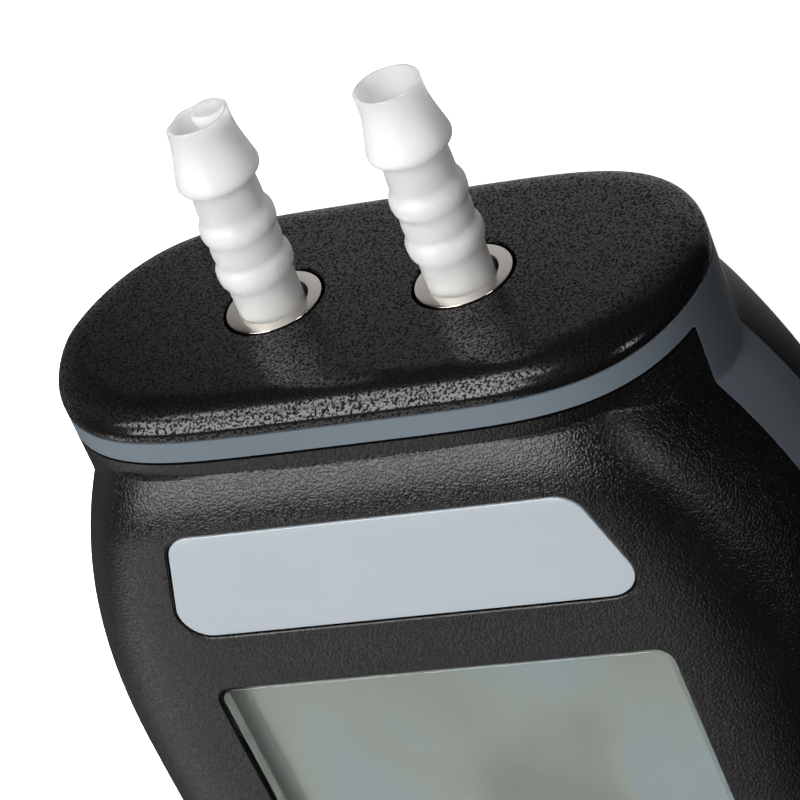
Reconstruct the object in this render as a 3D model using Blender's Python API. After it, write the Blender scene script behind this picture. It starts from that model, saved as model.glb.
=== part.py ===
"""Handheld differential pressure meter, lying on its back.

The origin is the centre of the flat back. +Z points out of the display, +Y towards the two
hose ports and +X to the right of someone who reads the display. Everything along the case is
placed by its depth: the distance from the top of the end cap down towards the handle.
"""
import math

import bmesh
import bpy
import numpy as np

MM = 0.001

# Batteries and their cover. The cells set how long and wide the case has to be.
CELL_COUNT = 3
CELL_RADIUS = 5.25 * MM
CELL_LENGTH = 44.5 * MM
CELL_NUB = 1.0 * MM
CELL_NUB_RADIUS = 1.7 * MM
CELL_EDGE = 0.6 * MM
CELL_SPACE = 0.7 * MM
CELL_PITCH = 2.0 * CELL_RADIUS + CELL_SPACE
CELL_CLEARANCE = 0.4 * MM
CONTACT_ROOM = 7.5 * MM
BAY_DEPTH = 84.0 * MM
BAY_WALL = 1.5 * MM
BAY_CORNER = 1.0 * MM
COVER_THICKNESS = 2.0 * MM
COVER_LEDGE = 2.2 * MM
COVER_TAB = 6.0 * MM
COVER_CORNER = 3.0 * MM
GROOVE_COUNT = 5
GROOVE_START = 5.0 * MM
GROOVE_PITCH = 2.6 * MM
GROOVE_WIDTH = 0.9 * MM
GROOVE_DEPTH = 0.5 * MM
GROOVE_HALF_LENGTH = 9.0 * MM
CONTACT_PLATE = 0.5 * MM
SPRING_WIRE = 0.35 * MM
SPRING_RADIUS = 2.6 * MM
SPRING_TAPER = 0.35
SPRING_TURNS = 3

# Case outline, seen from the front
FOOT_LENGTH = 16.0 * MM
SIDE_ROOM = 21.1 * MM
CASE_LENGTH = BAY_DEPTH + CELL_LENGTH + CONTACT_ROOM + FOOT_LENGTH
CASE_HALF_WIDTH = 0.5 * CELL_COUNT * CELL_PITCH + CELL_CLEARANCE + COVER_LEDGE + BAY_WALL + SIDE_ROOM
WIDEST_DEPTH = 52.0 * MM
SHOULDER_NARROWING = 12.4 * MM
SHOULDER_POWER = 2.5
HANDLE_NARROWING = 10.5 * MM
HANDLE_POWER = 1.7
FOOT_ROUND = 17.0 * MM
FOOT_POWER = 3.0
FOOT_HALF_WIDTH = 15.0 * MM
FOOT_EDGE_ROUND = 8.0 * MM
FOOT_EDGE_POWER = 2.2
FOOT_MARGIN = 0.6 * MM

# Case section: heights above the back
FACE_TOP_HEIGHT = 38.1 * MM
FACE_RISE = 20.8 * MM
MID_HEIGHT = FACE_TOP_HEIGHT - FACE_RISE
FACE_SLOPE = 0.053
BACK_CROWN = 0.9 * MM
FRONT_POWERS = (9.0, 1.52)
BACK_POWERS = (7.0, 2.0)

# Collar under the end cap, and the crease where the body flares out of it
COLLAR_SIDE_STEP = 8.1 * MM
COLLAR_FRONT_STEP = 2.6 * MM
COLLAR_BACK_STEP = 0.6 * MM
COLLAR_HALF_WIDTH = CASE_HALF_WIDTH - COLLAR_SIDE_STEP
COLLAR_FRONT_RISE = FACE_RISE - COLLAR_FRONT_STEP
COLLAR_BACK_DROP = MID_HEIGHT - COLLAR_BACK_STEP
COLLAR_FRONT_POWERS = (5.0, 1.74)
COLLAR_BACK_POWERS = (5.5, 1.5)
CREASE_DEPTH = 6.1 * MM
FLARE_LENGTH = 8.0 * MM
FLARE_END_DEPTH = 26.0 * MM

# Walls and joints between the mouldings
WALL = 2.2 * MM
FACE_LEDGE = 1.9 * MM
ROOT_DEPTH = 1.54 * MM
GAP = 0.3 * MM
SEAM = 0.1 * MM
CUT = 5.0 * MM
CAP_SIDE = 2.8 * MM
CAP_EDGE_RADIUS = 1.6 * MM
CAP_SKIRT_DEPTH = 9.0 * MM
SKIRT_ROOM = 0.1 * MM
BAND_HEIGHT = 2.3 * MM
STRIP_FRONT_RISE = 6.3 * MM
STRIP_BACK_DROP = 3.3 * MM
RIM_WALL = 1.6 * MM
RIM_STEP = 2.0 * MM

# Hose ports
PORT_SPACING = 20.0 * MM
PORT_RISE = 0.7 * MM
PORT_HEIGHT = MID_HEIGHT + PORT_RISE
BUSH_RADIUS = 4.99 * MM
BUSH_CLEARANCE = 0.27 * MM
BUSH_CHAMFER = 0.25 * MM
BUSH_FLANGE_RADIUS = 6.6 * MM
BUSH_FLANGE = 1.5 * MM
BUSH_SOCKET_DEPTH = 5.0 * MM
BUSH_BODY_DEPTH = 8.4 * MM
TAIL_RADIUS = 1.5 * MM
TAIL_LENGTH = 5.5 * MM
TAIL_BORE = 0.8 * MM
SEAL_THICKNESS = 1.0 * MM

# Hose barbs
BARB_TUBE_RADIUS = 3.4 * MM
BARB_BORE_RADIUS = 2.45 * MM
BARB_HEIGHT = 22.1 * MM
BARB_TIP_RADIUS = 3.25 * MM
BARB_TAPER_POWER = 2.0
BARB_MAX_RADIUS = 4.22 * MM
BARB_MAX_HEIGHT = 15.6 * MM
BARB_NECK_HEIGHT = 14.75 * MM
BARB_EDGE_INSET = 0.15 * MM
BARB_EDGE_RISE = 0.35 * MM
BARB_LAND_BELOW = 0.4 * MM
BARB_LAND_ABOVE = 0.3 * MM
BARB_RING_HEIGHTS = (9.8 * MM, 4.7 * MM)
BARB_RING_LENGTH = 2.6 * MM
BARB_RING_RISE = 0.48 * MM
BARB_LIP = 0.5 * MM
BARB_MOUTH_DEPTH = 3.0 * MM
TIP_DENT = 1.5 * MM
TIP_DENT_REACH = 4.0 * MM
TIP_DENT_SIDE = 215.0
TIP_DENT_SQUEEZE = 0.12

# Display and name plate, by depth below the top of the cap
WINDOW_BORDER = 17.9 * MM
WINDOW_TOP = 33.3 * MM
WINDOW_HEIGHT = 38.6 * MM
WINDOW_HALF_WIDTH = CASE_HALF_WIDTH - WINDOW_BORDER
WINDOW_CORNER = 1.9 * MM
PLATE_TOP = 12.95 * MM
PLATE_HEIGHT = 12.95 * MM
PLATE_OVERHANG = 0.8 * MM
PLATE_TAPER = 4.0 * MM
PLATE_HALF_WIDTH_BOTTOM = WINDOW_HALF_WIDTH + PLATE_OVERHANG
PLATE_HALF_WIDTH_TOP = PLATE_HALF_WIDTH_BOTTOM - PLATE_TAPER
PLATE_CORNER = 3.0 * MM
PLATE_THICKNESS = 0.35 * MM
PLATE_RECESS = 0.15 * MM
PLATE_CLEARANCE = 0.2 * MM
LENS_RECESS = 0.25 * MM
LENS_FLANGE = 2.0 * MM
LENS_FLANGE_THICKNESS = 1.2 * MM
LCD_THICKNESS = 2.2 * MM
LCD_MARGIN = 2.6 * MM
HOLDER_WALL = 1.4 * MM
HOLDER_SHELF = 1.6 * MM
CONNECTOR_WIDTH = 2.0 * MM

# Screws and the bosses that they stand in, each boss as (x, depth)
SCREW_RADIUS = 1.15 * MM
SCREW_HEAD_RADIUS = 2.4 * MM
SCREW_HEAD_HEIGHT = 1.7 * MM
SCREW_HEAD_EDGE = 0.35 * MM
SCREW_DRIVE_RADIUS = 1.1 * MM
SCREW_DRIVE_SHARE = 0.55
SCREW_HEAD_SUNK = 0.9 * MM
SCREW_TIP_ROOM = 8.5 * MM
SCREW_LENGTH = FACE_TOP_HEIGHT - SCREW_TIP_ROOM - SCREW_HEAD_HEIGHT - SCREW_HEAD_SUNK
COVER_SCREW_HEAD = 0.9 * MM
COVER_SCREW_SEAT = 1.0 * MM
COVER_SCREW_LENGTH = 7.0 * MM
BOSS_RADIUS = 3.3 * MM
TOP_BOSS_BORDER = 16.0 * MM
TOP_BOSS_DEPTH = 22.5 * MM
BOTTOM_BOSS_BORDER = 17.0 * MM
BOTTOM_BOSS_END = 26.0 * MM
TOP_BOSS = (CASE_HALF_WIDTH - TOP_BOSS_BORDER, TOP_BOSS_DEPTH)
BOTTOM_BOSS = (CASE_HALF_WIDTH - BOTTOM_BOSS_BORDER, CASE_LENGTH - BOTTOM_BOSS_END)

# Circuit board
FACE_TO_BOARD = 16.1 * MM
BOARD_HEIGHT = FACE_TOP_HEIGHT - FACE_TO_BOARD
BOARD_THICKNESS = 1.6 * MM
BOARD_MARGIN = 8.0 * MM
BOARD_TOP_MARGIN = 4.5 * MM
BOARD_BOTTOM_MARGIN = 8.0 * MM
BOARD_TOP_DEPTH = TOP_BOSS_DEPTH - BOARD_TOP_MARGIN
BOARD_BOTTOM_DEPTH = CASE_LENGTH - BOTTOM_BOSS_END + BOARD_BOTTOM_MARGIN

# Pressure sensor and its two hoses
SENSOR_DEPTH = 32.0 * MM
SENSOR_LENGTH = 17.0 * MM
SENSOR_WIDTH = 20.0 * MM
SENSOR_HEIGHT = 7.6 * MM
NIPPLE_SPACING = 10.0 * MM
NIPPLE_LENGTH = 5.5 * MM
HOSE_WALL = 0.9 * MM

# Keys
KEY_DEPTH = 93.0 * MM
KEY_PITCH = 19.0 * MM
KEY_WIDTH = 13.0 * MM
KEY_LENGTH = 9.0 * MM
KEY_CORNER = 2.8 * MM
KEY_PROUD = 1.1 * MM
KEY_EDGE = 0.7 * MM
KEY_EDGE_SHARE = 0.3
KEY_FOOT_SHARE = 0.6
KEY_TRAVEL = 0.5 * MM
KEY_FLANGE = 1.2 * MM
KEY_FLANGE_THICKNESS = 1.0 * MM
SWITCH_SIZE = 6.0 * MM
SWITCH_HEIGHT = 3.4 * MM
STEM_RADIUS = 1.75 * MM
STEM_HEIGHT = 1.1 * MM
STEM_SUNK = 1.0 * MM

# How finely curved shapes are divided: outside surfaces first, then hidden ones
SECTION_STEPS = 9
OUTER_ROWS = (4, 6, 5)
CAP_EDGE_STEPS = 4
CORE_STEPS = 6
CORE_ROWS = (3, 4, 3)
BOARD_STEPS = 9
ROUND_STEPS = 16
BARB_STEPS = 3
PEG_STEPS = 10
SCREW_STEPS = 8
HOSE_STEPS = 7
HOSE_ROWS = 5
SPRING_STEPS = 6
CORNER_STEPS = 3
HALVINGS = 44

# Derived sizes
TOP_Y = CASE_LENGTH / 2
BAND_TOP = CAP_SIDE + SEAM
BAND_BOTTOM = BAND_TOP + BAND_HEIGHT
CASE_TOP = BAND_BOTTOM + GAP
BOARD_TOP = BOARD_HEIGHT + BOARD_THICKNESS
STRIP_FRONT = MID_HEIGHT + STRIP_FRONT_RISE
STRIP_BACK = MID_HEIGHT - STRIP_BACK_DROP
SKIRT_INSET = WALL + GAP
RIM_INSET = SKIRT_INSET + RIM_WALL


# Materials

def make_material(name, colour, roughness, metallic=0.0, transmission=0.0):
    material = bpy.data.materials.new(name)
    material.use_nodes = True
    shader = material.node_tree.nodes["Principled BSDF"]
    shader.inputs["Base Color"].default_value = (*colour, 1.0)
    shader.inputs["Roughness"].default_value = roughness
    shader.inputs["Metallic"].default_value = metallic
    shader.inputs["Transmission Weight"].default_value = transmission
    material.diffuse_color = (*colour, 1.0)
    return material


# Building objects from rings of points

def clear_scene():
    for thing in list(bpy.data.objects):
        bpy.data.objects.remove(thing, do_unlink=True)


def add_object(name, mesh, material):
    thing = bpy.data.objects.new(name, mesh)
    bpy.context.scene.collection.objects.link(thing)
    if material is not None:
        mesh.materials.append(material)
    mesh.shade_smooth()
    mesh.set_sharp_from_angle(angle=math.radians(35))
    return thing


def mesh_from_bmesh(name, bm):
    bmesh.ops.recalc_face_normals(bm, faces=bm.faces)
    mesh = bpy.data.meshes.new(name)
    bm.to_mesh(mesh)
    bm.free()
    return mesh


def loft(rings, closed_loop=False):
    """Skin rings of equally many points; the ends are filled, or joined where the loft is a loop."""
    bm = bmesh.new()
    rows = []
    for ring in rings:
        rows.append([bm.verts.new(tuple(float(v) for v in point)) for point in ring])
    count = len(rows[0])
    pairs = list(zip(rows[:-1], rows[1:]))
    if closed_loop:
        pairs.append((rows[-1], rows[0]))
    for first, second in pairs:
        for i in range(count):
            j = (i + 1) % count
            bm.faces.new((first[i], first[j], second[j], second[i]))
    if not closed_loop:
        bm.faces.new(rows[0])
        bm.faces.new(list(reversed(rows[-1])))
    return bm


def solid(name, rings, material, closed_loop=False):
    return add_object(name, mesh_from_bmesh(name, loft(rings, closed_loop)), material)


def turned(name, profile, material, axis_x, axis_z, steps=ROUND_STEPS):
    """Turn a profile of (radius, depth) points about an axis along Y; the profile is a closed loop."""
    angles = np.linspace(0.0, 2.0 * math.pi, steps, endpoint=False)
    rings = []
    for radius, depth in profile:
        x = axis_x + radius * np.cos(angles)
        z = axis_z + radius * np.sin(angles)
        y = np.full(steps, TOP_Y - depth)
        rings.append(np.stack([x, y, z], axis=1))
    return solid(name, rings, material, closed_loop=True)


def peg(name, centre, levels, material, steps=PEG_STEPS):
    """A round peg along Z: levels are (radius, height) pairs from one end to the other."""
    angles = np.linspace(0.0, 2.0 * math.pi, steps, endpoint=False)
    rings = []
    for radius, height in levels:
        x = centre[0] + radius * np.cos(angles)
        y = centre[1] + radius * np.sin(angles)
        rings.append(np.stack([x, y, np.full(steps, height)], axis=1))
    return solid(name, rings, material)


def rod(name, x, z, levels, material=None, steps=PEG_STEPS):
    """A round rod along Y: levels are (radius, depth) pairs from one end to the other."""
    angles = np.linspace(0.0, 2.0 * math.pi, steps, endpoint=False)
    rings = []
    for radius, depth in levels:
        rings.append(np.stack([x + radius * np.cos(angles), np.full(steps, TOP_Y - depth),
                               z + radius * np.sin(angles)], axis=1))
    return solid(name, rings, material)


def slab(name, outline, low, high, material=None):
    """A prism along Z over an outline of (x, y); low and high are heights or functions of y."""
    return solid(name, [level(outline, low), level(outline, high)], material)


def level(outline, height):
    return [(x, y, height(y) if callable(height) else height) for x, y in outline]


def rounded_polygon(corners, radius, steps=CORNER_STEPS):
    """The outline of a convex polygon with each corner replaced by an arc."""
    points = []
    count = len(corners)
    for i in range(count):
        before = np.array(corners[i - 1])
        here = np.array(corners[i])
        after = np.array(corners[(i + 1) % count])
        back = (before - here) / np.linalg.norm(before - here)
        ahead = (after - here) / np.linalg.norm(after - here)
        half_angle = 0.5 * math.acos(float(np.clip(np.dot(back, ahead), -1.0, 1.0)))
        middle = (back + ahead) / np.linalg.norm(back + ahead)
        centre = here + middle * radius / math.sin(half_angle)
        start = here + back * radius / math.tan(half_angle) - centre
        end = here + ahead * radius / math.tan(half_angle) - centre
        first = math.atan2(start[1], start[0])
        turn = math.atan2(end[1], end[0]) - first
        turn = (turn + math.pi) % (2.0 * math.pi) - math.pi
        for k in range(steps + 1):
            angle = first + turn * k / steps
            points.append((centre[0] + radius * math.cos(angle), centre[1] + radius * math.sin(angle)))
    return points


def rounded_box(reach, top, bottom, radius, centre_x=0.0, steps=CORNER_STEPS):
    """A rounded rectangle between two depths, as far as its reach to each side of its centre."""
    left = centre_x - reach
    right = centre_x + reach
    high = TOP_Y - top
    low = TOP_Y - bottom
    return rounded_polygon([(left, low), (right, low), (right, high), (left, high)], radius, steps)


def box(name, low, high, material=None):
    outline = [(low[0], low[1]), (high[0], low[1]), (high[0], high[1]), (low[0], high[1])]
    return slab(name, outline, low[2], high[2], material)


def as_tool(thing):
    thing.hide_render = True
    thing.display_type = "WIRE"
    return thing


def combine(operation, target, pieces, solver):
    """Work all the pieces into the target in one Boolean operation."""
    group = bpy.data.collections.new(target.name + "_" + operation.lower())
    for piece in pieces:
        group.objects.link(as_tool(piece))
    modifier = target.modifiers.new(group.name, "BOOLEAN")
    modifier.operation = operation
    modifier.solver = solver
    modifier.operand_type = "COLLECTION"
    modifier.collection = group
    return target


def join(target, *pieces, solver="EXACT"):
    return combine("UNION", target, pieces, solver)


def cut(target, *tools, solver="EXACT"):
    return combine("DIFFERENCE", target, tools, solver)


def trim(thing, height, keep_above):
    """Cut a solid flat at a height, keeping the part above or below it."""
    bm = bmesh.new()
    bm.from_mesh(thing.data)
    geometry = bm.verts[:] + bm.edges[:] + bm.faces[:]
    normal = (0.0, 0.0, -1.0) if keep_above else (0.0, 0.0, 1.0)
    sliced = bmesh.ops.bisect_plane(bm, geom=geometry, dist=1e-7, plane_co=(0.0, 0.0, height),
                                    plane_no=normal, clear_outer=True)
    rim = [item for item in sliced["geom_cut"] if isinstance(item, bmesh.types.BMEdge)]
    bmesh.ops.contextual_create(bm, geom=rim)
    bmesh.ops.recalc_face_normals(bm, faces=bm.faces)
    bm.to_mesh(thing.data)
    bm.free()
    thing.data.set_sharp_from_angle(angle=math.radians(35))
    return thing


# The case's outer form

def lame_radius(angle, wide, rise, powers):
    """Distance from the axis to a Lame curve |x/w|^n + |z/h|^m = 1, along each angle."""
    across = np.abs(np.cos(angle)) / wide
    up = np.abs(np.sin(angle)) / rise
    near = np.zeros_like(across)
    far = near + 2.0 * (wide + rise)
    for _ in range(HALVINGS):
        middle = 0.5 * (near + far)
        inside = (across * middle) ** powers[0] + (up * middle) ** powers[1] < 1.0
        near = np.where(inside, middle, near)
        far = np.where(inside, far, middle)
    return 0.5 * (near + far)


def end_factor(distance, length, power, last):
    """Falls from 1 to the value last over a length, like the quarter of a superellipse."""
    t = np.clip(distance / length, 0.0, 1.0)
    reach = (1.0 - last ** power) ** (1.0 / power)
    return (1.0 - (reach * t) ** power) ** (1.0 / power)


def half_width(depth, inset=0.0):
    """Half the case's width at a depth, before the foot is rounded off."""
    over = np.clip((WIDEST_DEPTH - depth) / (WIDEST_DEPTH - CREASE_DEPTH), 0.0, None)
    under = np.clip((depth - WIDEST_DEPTH) / (CASE_LENGTH - WIDEST_DEPTH), 0.0, None)
    return (CASE_HALF_WIDTH - SHOULDER_NARROWING * over ** SHOULDER_POWER
            - HANDLE_NARROWING * under ** HANDLE_POWER - inset)


def flare(depth):
    """1 at the crease, falling smoothly to 0 where the flare meets the face."""
    return np.clip(1.0 - (depth - CREASE_DEPTH) / FLARE_LENGTH, 0.0, 1.0) ** 2


def face_height(depth):
    """Height of the middle of the front face above the back."""
    plane = FACE_TOP_HEIGHT - FACE_SLOPE * depth
    drop = FACE_TOP_HEIGHT - FACE_SLOPE * CREASE_DEPTH - (MID_HEIGHT + COLLAR_FRONT_RISE)
    return plane - drop * flare(depth)


def body_radius(angle, depth, inset):
    length = CASE_LENGTH - inset
    width = half_width(depth, inset)
    width = width * end_factor(depth - (length - FOOT_ROUND), FOOT_ROUND, FOOT_POWER,
                               FOOT_HALF_WIDTH / width)
    rise = face_height(depth) - MID_HEIGHT - inset
    full_drop = MID_HEIGHT + BACK_CROWN - inset
    drop = full_drop - (full_drop - (COLLAR_BACK_DROP - inset)) * flare(depth)
    edge = depth - (length - FOOT_EDGE_ROUND)
    rise = rise * end_factor(edge, FOOT_EDGE_ROUND, FOOT_EDGE_POWER,
                             (STRIP_FRONT_RISE - FOOT_MARGIN) / rise)
    drop = drop * end_factor(edge, FOOT_EDGE_ROUND, FOOT_EDGE_POWER,
                             (STRIP_BACK_DROP - FOOT_MARGIN) / drop)
    front = lame_radius(angle, width, rise, FRONT_POWERS)
    back = lame_radius(angle, width, drop, BACK_POWERS)
    return np.where(np.sin(angle) >= 0.0, front, back)


def collar_radius(angle, inset):
    width = COLLAR_HALF_WIDTH - inset
    front = lame_radius(angle, width, COLLAR_FRONT_RISE - inset, COLLAR_FRONT_POWERS)
    back = lame_radius(angle, width, COLLAR_BACK_DROP - inset, COLLAR_BACK_POWERS)
    return np.where(np.sin(angle) >= 0.0, front, back)


def section_angles(steps):
    """Directions of the section's points, closest together round the case's shoulders."""
    share = np.linspace(0.0, 1.0, steps + 1)
    x = CASE_HALF_WIDTH * (1.0 - (1.0 - share) ** 2.0)
    rise = face_height(WIDEST_DEPTH) - MID_HEIGHT
    front = rise * (1.0 - (x / CASE_HALF_WIDTH) ** FRONT_POWERS[0]) ** (1.0 / FRONT_POWERS[1])
    quarter = np.arctan2(front, x)[::-1]
    half = np.concatenate([quarter, math.pi - quarter[::-1][1:]])
    return np.concatenate([half, -half[::-1][1:-1]])


def place(angle, radius, depth, inset):
    """Points round the case's axis, with the back cut flat."""
    below = np.maximum(-np.sin(angle), 1e-9)
    radius = np.minimum(radius, np.where(np.sin(angle) < 0.0, (MID_HEIGHT - inset) / below, radius))
    x = radius * np.cos(angle)
    y = TOP_Y - depth * np.ones_like(angle)
    z = MID_HEIGHT + radius * np.sin(angle)
    return np.stack([x, y, z], axis=1)


def crease_depths(angle, inset):
    """Where the flaring body comes out of the collar, along each direction."""
    near = np.full_like(angle, CREASE_DEPTH)
    far = np.full_like(angle, FLARE_END_DEPTH)
    collar = collar_radius(angle, inset)
    for _ in range(HALVINGS):
        middle = 0.5 * (near + far)
        inside = body_radius(angle, middle, inset) < collar
        near = np.where(inside, middle, near)
        far = np.where(inside, far, middle)
    return 0.5 * (near + far)


def collar_ring(depth, inset, steps=SECTION_STEPS):
    angle = section_angles(steps)
    return place(angle, collar_radius(angle, inset), depth, inset)


def hull(name, inset, top_depth, steps=CORE_STEPS, rows=CORE_ROWS):
    """The case's outer form, pulled in by an inset, from a depth in the collar down to the foot.

    The rows are how often the flare, the grip and the rounded foot are divided.
    """
    angle = section_angles(steps)
    crease = crease_depths(angle, inset)
    foot_start = CASE_LENGTH - FOOT_ROUND
    foot_end = CASE_LENGTH - inset
    depths = [crease + (FLARE_END_DEPTH - crease) * share ** 1.6
              for share in np.linspace(0.0, 1.0, rows[0] + 1)[1:]]
    depths += [np.full_like(angle, depth)
               for depth in np.linspace(FLARE_END_DEPTH, foot_start, rows[1] + 1)[1:]]
    depths += [np.full_like(angle, foot_start + (foot_end - foot_start) * math.sin(turn))
               for turn in np.linspace(0.0, math.pi / 2.0, rows[2] + 1)[1:]]
    rings = [collar_ring(top_depth, inset, steps),
             place(angle, collar_radius(angle, inset), crease, inset)]
    rings += [place(angle, body_radius(angle, depth, inset), depth, inset) for depth in depths]
    return solid(name, rings, None)


def outer_hull(name, top_depth, material):
    case = hull(name, 0.0, top_depth, SECTION_STEPS, OUTER_ROWS)
    case.data.materials.append(material)
    return case


def face_plane(offset=0.0):
    """Height of the flat face at a y, raised by an offset."""
    return lambda y: FACE_TOP_HEIGHT - FACE_SLOPE * (TOP_Y - y) + offset


# End cap, elastomer band and the two case halves

def make_end_cap(material):
    rings = []
    for step in range(CAP_EDGE_STEPS + 1):
        turn = 0.5 * math.pi * step / CAP_EDGE_STEPS
        inset = CAP_EDGE_RADIUS * (1.0 - math.sin(turn))
        rings.append(collar_ring(CAP_EDGE_RADIUS * (1.0 - math.cos(turn)), inset))
    rings.append(collar_ring(CAP_SIDE, 0.0))
    cap = solid("end_cap", rings, material)

    root = 0.5 * CAP_SIDE
    skirt = [collar_ring(depth, inset, CORE_STEPS)
             for depth, inset in ((root, SKIRT_INSET), (CAP_SKIRT_DEPTH, SKIRT_INSET),
                                  (CAP_SKIRT_DEPTH, RIM_INSET), (root, RIM_INSET))]
    join(cap, solid("cap_skirt", skirt, None, closed_loop=True))
    hole = BUSH_RADIUS + BUSH_CLEARANCE
    levels = ((hole, -CUT), (hole, CAP_SIDE + CUT))
    return cut(cap, *[rod("cap_hole_" + side, x, PORT_HEIGHT, levels, steps=ROUND_STEPS)
                      for side, x in port_sides()])


def make_side_band(material):
    """One grey moulding: the ring under the cap, the strip down each side and round the foot."""
    band = outer_hull("side_band", BAND_TOP, material)
    wide = 2.0 * CASE_HALF_WIDTH
    front = box("band_front_cut", (-wide, -CASE_LENGTH, STRIP_FRONT), (wide, TOP_Y - BAND_BOTTOM, wide))
    back = box("band_back_cut", (-wide, -CASE_LENGTH, -wide), (wide, TOP_Y - BAND_BOTTOM, STRIP_BACK))
    inside = hull("band_core", WALL, -CUT)
    return cut(band, inside, front, back)


def boss_tools(name, low, high):
    pegs = []
    for label, (x, depth) in (("top", TOP_BOSS), ("bottom", BOTTOM_BOSS)):
        for side, sign in (("left", -1), ("right", 1)):
            pegs.append(peg(f"{name}_{label}_{side}", (sign * x, TOP_Y - depth),
                            ((BOSS_RADIUS, low), (BOSS_RADIUS, high)), None))
    return pegs


def screw_places():
    places = []
    for label, (x, depth) in (("top", TOP_BOSS), ("bottom", BOTTOM_BOSS)):
        for side, sign in (("left", -1), ("right", 1)):
            places.append((f"{label}_{side}", (sign * x, TOP_Y - depth)))
    return places


def make_front_case(material):
    case = outer_hull("front_case", CASE_TOP, material)
    trim(case, STRIP_FRONT + SEAM, keep_above=True)
    core = hull("front_core", WALL, -CUT)
    cut(core, *boss_tools("front_boss", BOARD_TOP + GAP, FACE_TOP_HEIGHT + CUT))
    low = STRIP_FRONT - CUT
    over = face_plane(CUT)
    ledge = face_plane(-FACE_LEDGE)
    pocket_floor = face_plane(-PLATE_RECESS - PLATE_THICKNESS - GAP)
    tools = [core,
             slab("plate_pocket", plate_outline(PLATE_CLEARANCE), pocket_floor, over),
             slab("window_hole", window_outline(0.0), low, over),
             slab("lens_seat", window_outline(LENS_FLANGE + GAP), low, ledge)]
    for index, x in key_places():
        tools.append(slab(f"key_hole_{index}", key_outline(x, GAP), low, over))
        tools.append(slab(f"key_seat_{index}", key_outline(x, KEY_FLANGE + GAP), low, ledge))
    pilot = SCREW_RADIUS + GAP
    for name, centre in screw_places():
        tools.append(peg("front_pilot_" + name, centre, ((pilot, 0.0), (pilot, screw_end() + GAP)),
                         None, SCREW_STEPS))
    return cut(case, *tools)


def screw_seat():
    """Height of the face that each case screw's head is drawn up against."""
    return SCREW_HEAD_SUNK + SCREW_HEAD_HEIGHT + GAP


def screw_end():
    return SCREW_HEAD_SUNK + SCREW_HEAD_HEIGHT + SCREW_LENGTH


def bay_bottom():
    return BAY_DEPTH + CELL_LENGTH + CONTACT_ROOM


def bay_half_width():
    return 0.5 * CELL_COUNT * CELL_PITCH + CELL_CLEARANCE


def bay_ceiling():
    return COVER_THICKNESS + 2.0 * CELL_CLEARANCE + 2.0 * CELL_RADIUS + CELL_CLEARANCE


def cover_half_width():
    return bay_half_width() + COVER_LEDGE


def make_rear_case(material):
    """A shell with a rim inside the band, a battery bay and four screw bosses.

    Its faces are bent where the shell rounds off, and the exact solver leaves open edges there,
    so its parts are worked together with the manifold solver.
    """
    bent = "MANIFOLD"
    case = outer_hull("rear_case", CASE_TOP, material)
    trim(case, STRIP_BACK - SEAM, keep_above=False)
    rim = hull("rear_rim", SKIRT_INSET, 0.5 * CAP_SKIRT_DEPTH)
    trim(rim, STRIP_FRONT, keep_above=False)
    join(case, rim, solver=bent)

    core = hull("rear_core", RIM_INSET, -CUT)
    lower_core = hull("rear_core_low", WALL, -0.5 * CUT)
    trim(lower_core, STRIP_BACK - RIM_STEP, keep_above=False)
    skirt_room = [collar_ring(depth, WALL - SKIRT_ROOM, CORE_STEPS)
                  for depth in (-0.75 * CUT, CAP_SKIRT_DEPTH + GAP)]
    cut(case, core, lower_core, solid("skirt_room", skirt_room, None), solver=bent)

    bay = box("bay_block", (-cover_half_width() - BAY_WALL, TOP_Y - cover_bottom() - BAY_WALL, ROOT_DEPTH),
              (cover_half_width() + BAY_WALL, TOP_Y - cover_top() + BAY_WALL, bay_ceiling() + BAY_WALL))
    join(case, bay, *boss_tools("rear_boss", ROOT_DEPTH, BOARD_HEIGHT - GAP), solver=bent)

    low = -CUT
    pilot = SCREW_RADIUS + GAP
    tools = [slab("bay_pocket", rounded_box(bay_half_width(), BAY_DEPTH, bay_bottom(), BAY_CORNER),
                  low, bay_ceiling()),
             slab("cover_recess", cover_outline(GAP), low, COVER_THICKNESS + GAP),
             peg("cover_pilot", cover_screw_centre(), ((pilot, low), (pilot, cover_screw_end() + GAP)),
                 None, SCREW_STEPS)]
    for name, centre in screw_places():
        tools.append(screw_hole("rear_hole_" + name, centre, low, screw_seat(), BOARD_TOP))
    return cut(case, *tools, solver=bent)


# Name plate, display window and LCD

def plate_outline(grow):
    top = TOP_Y - PLATE_TOP + grow
    bottom = TOP_Y - PLATE_TOP - PLATE_HEIGHT - grow
    high = PLATE_HALF_WIDTH_TOP + grow
    low = PLATE_HALF_WIDTH_BOTTOM + grow
    corners = [(-low, bottom), (low, bottom), (high, top), (-high, top)]
    return rounded_polygon(corners, PLATE_CORNER + grow)


def window_outline(grow):
    return rounded_box(WINDOW_HALF_WIDTH + grow, WINDOW_TOP - grow, WINDOW_TOP + WINDOW_HEIGHT + grow,
                       WINDOW_CORNER + max(grow, 0.0))


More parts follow.
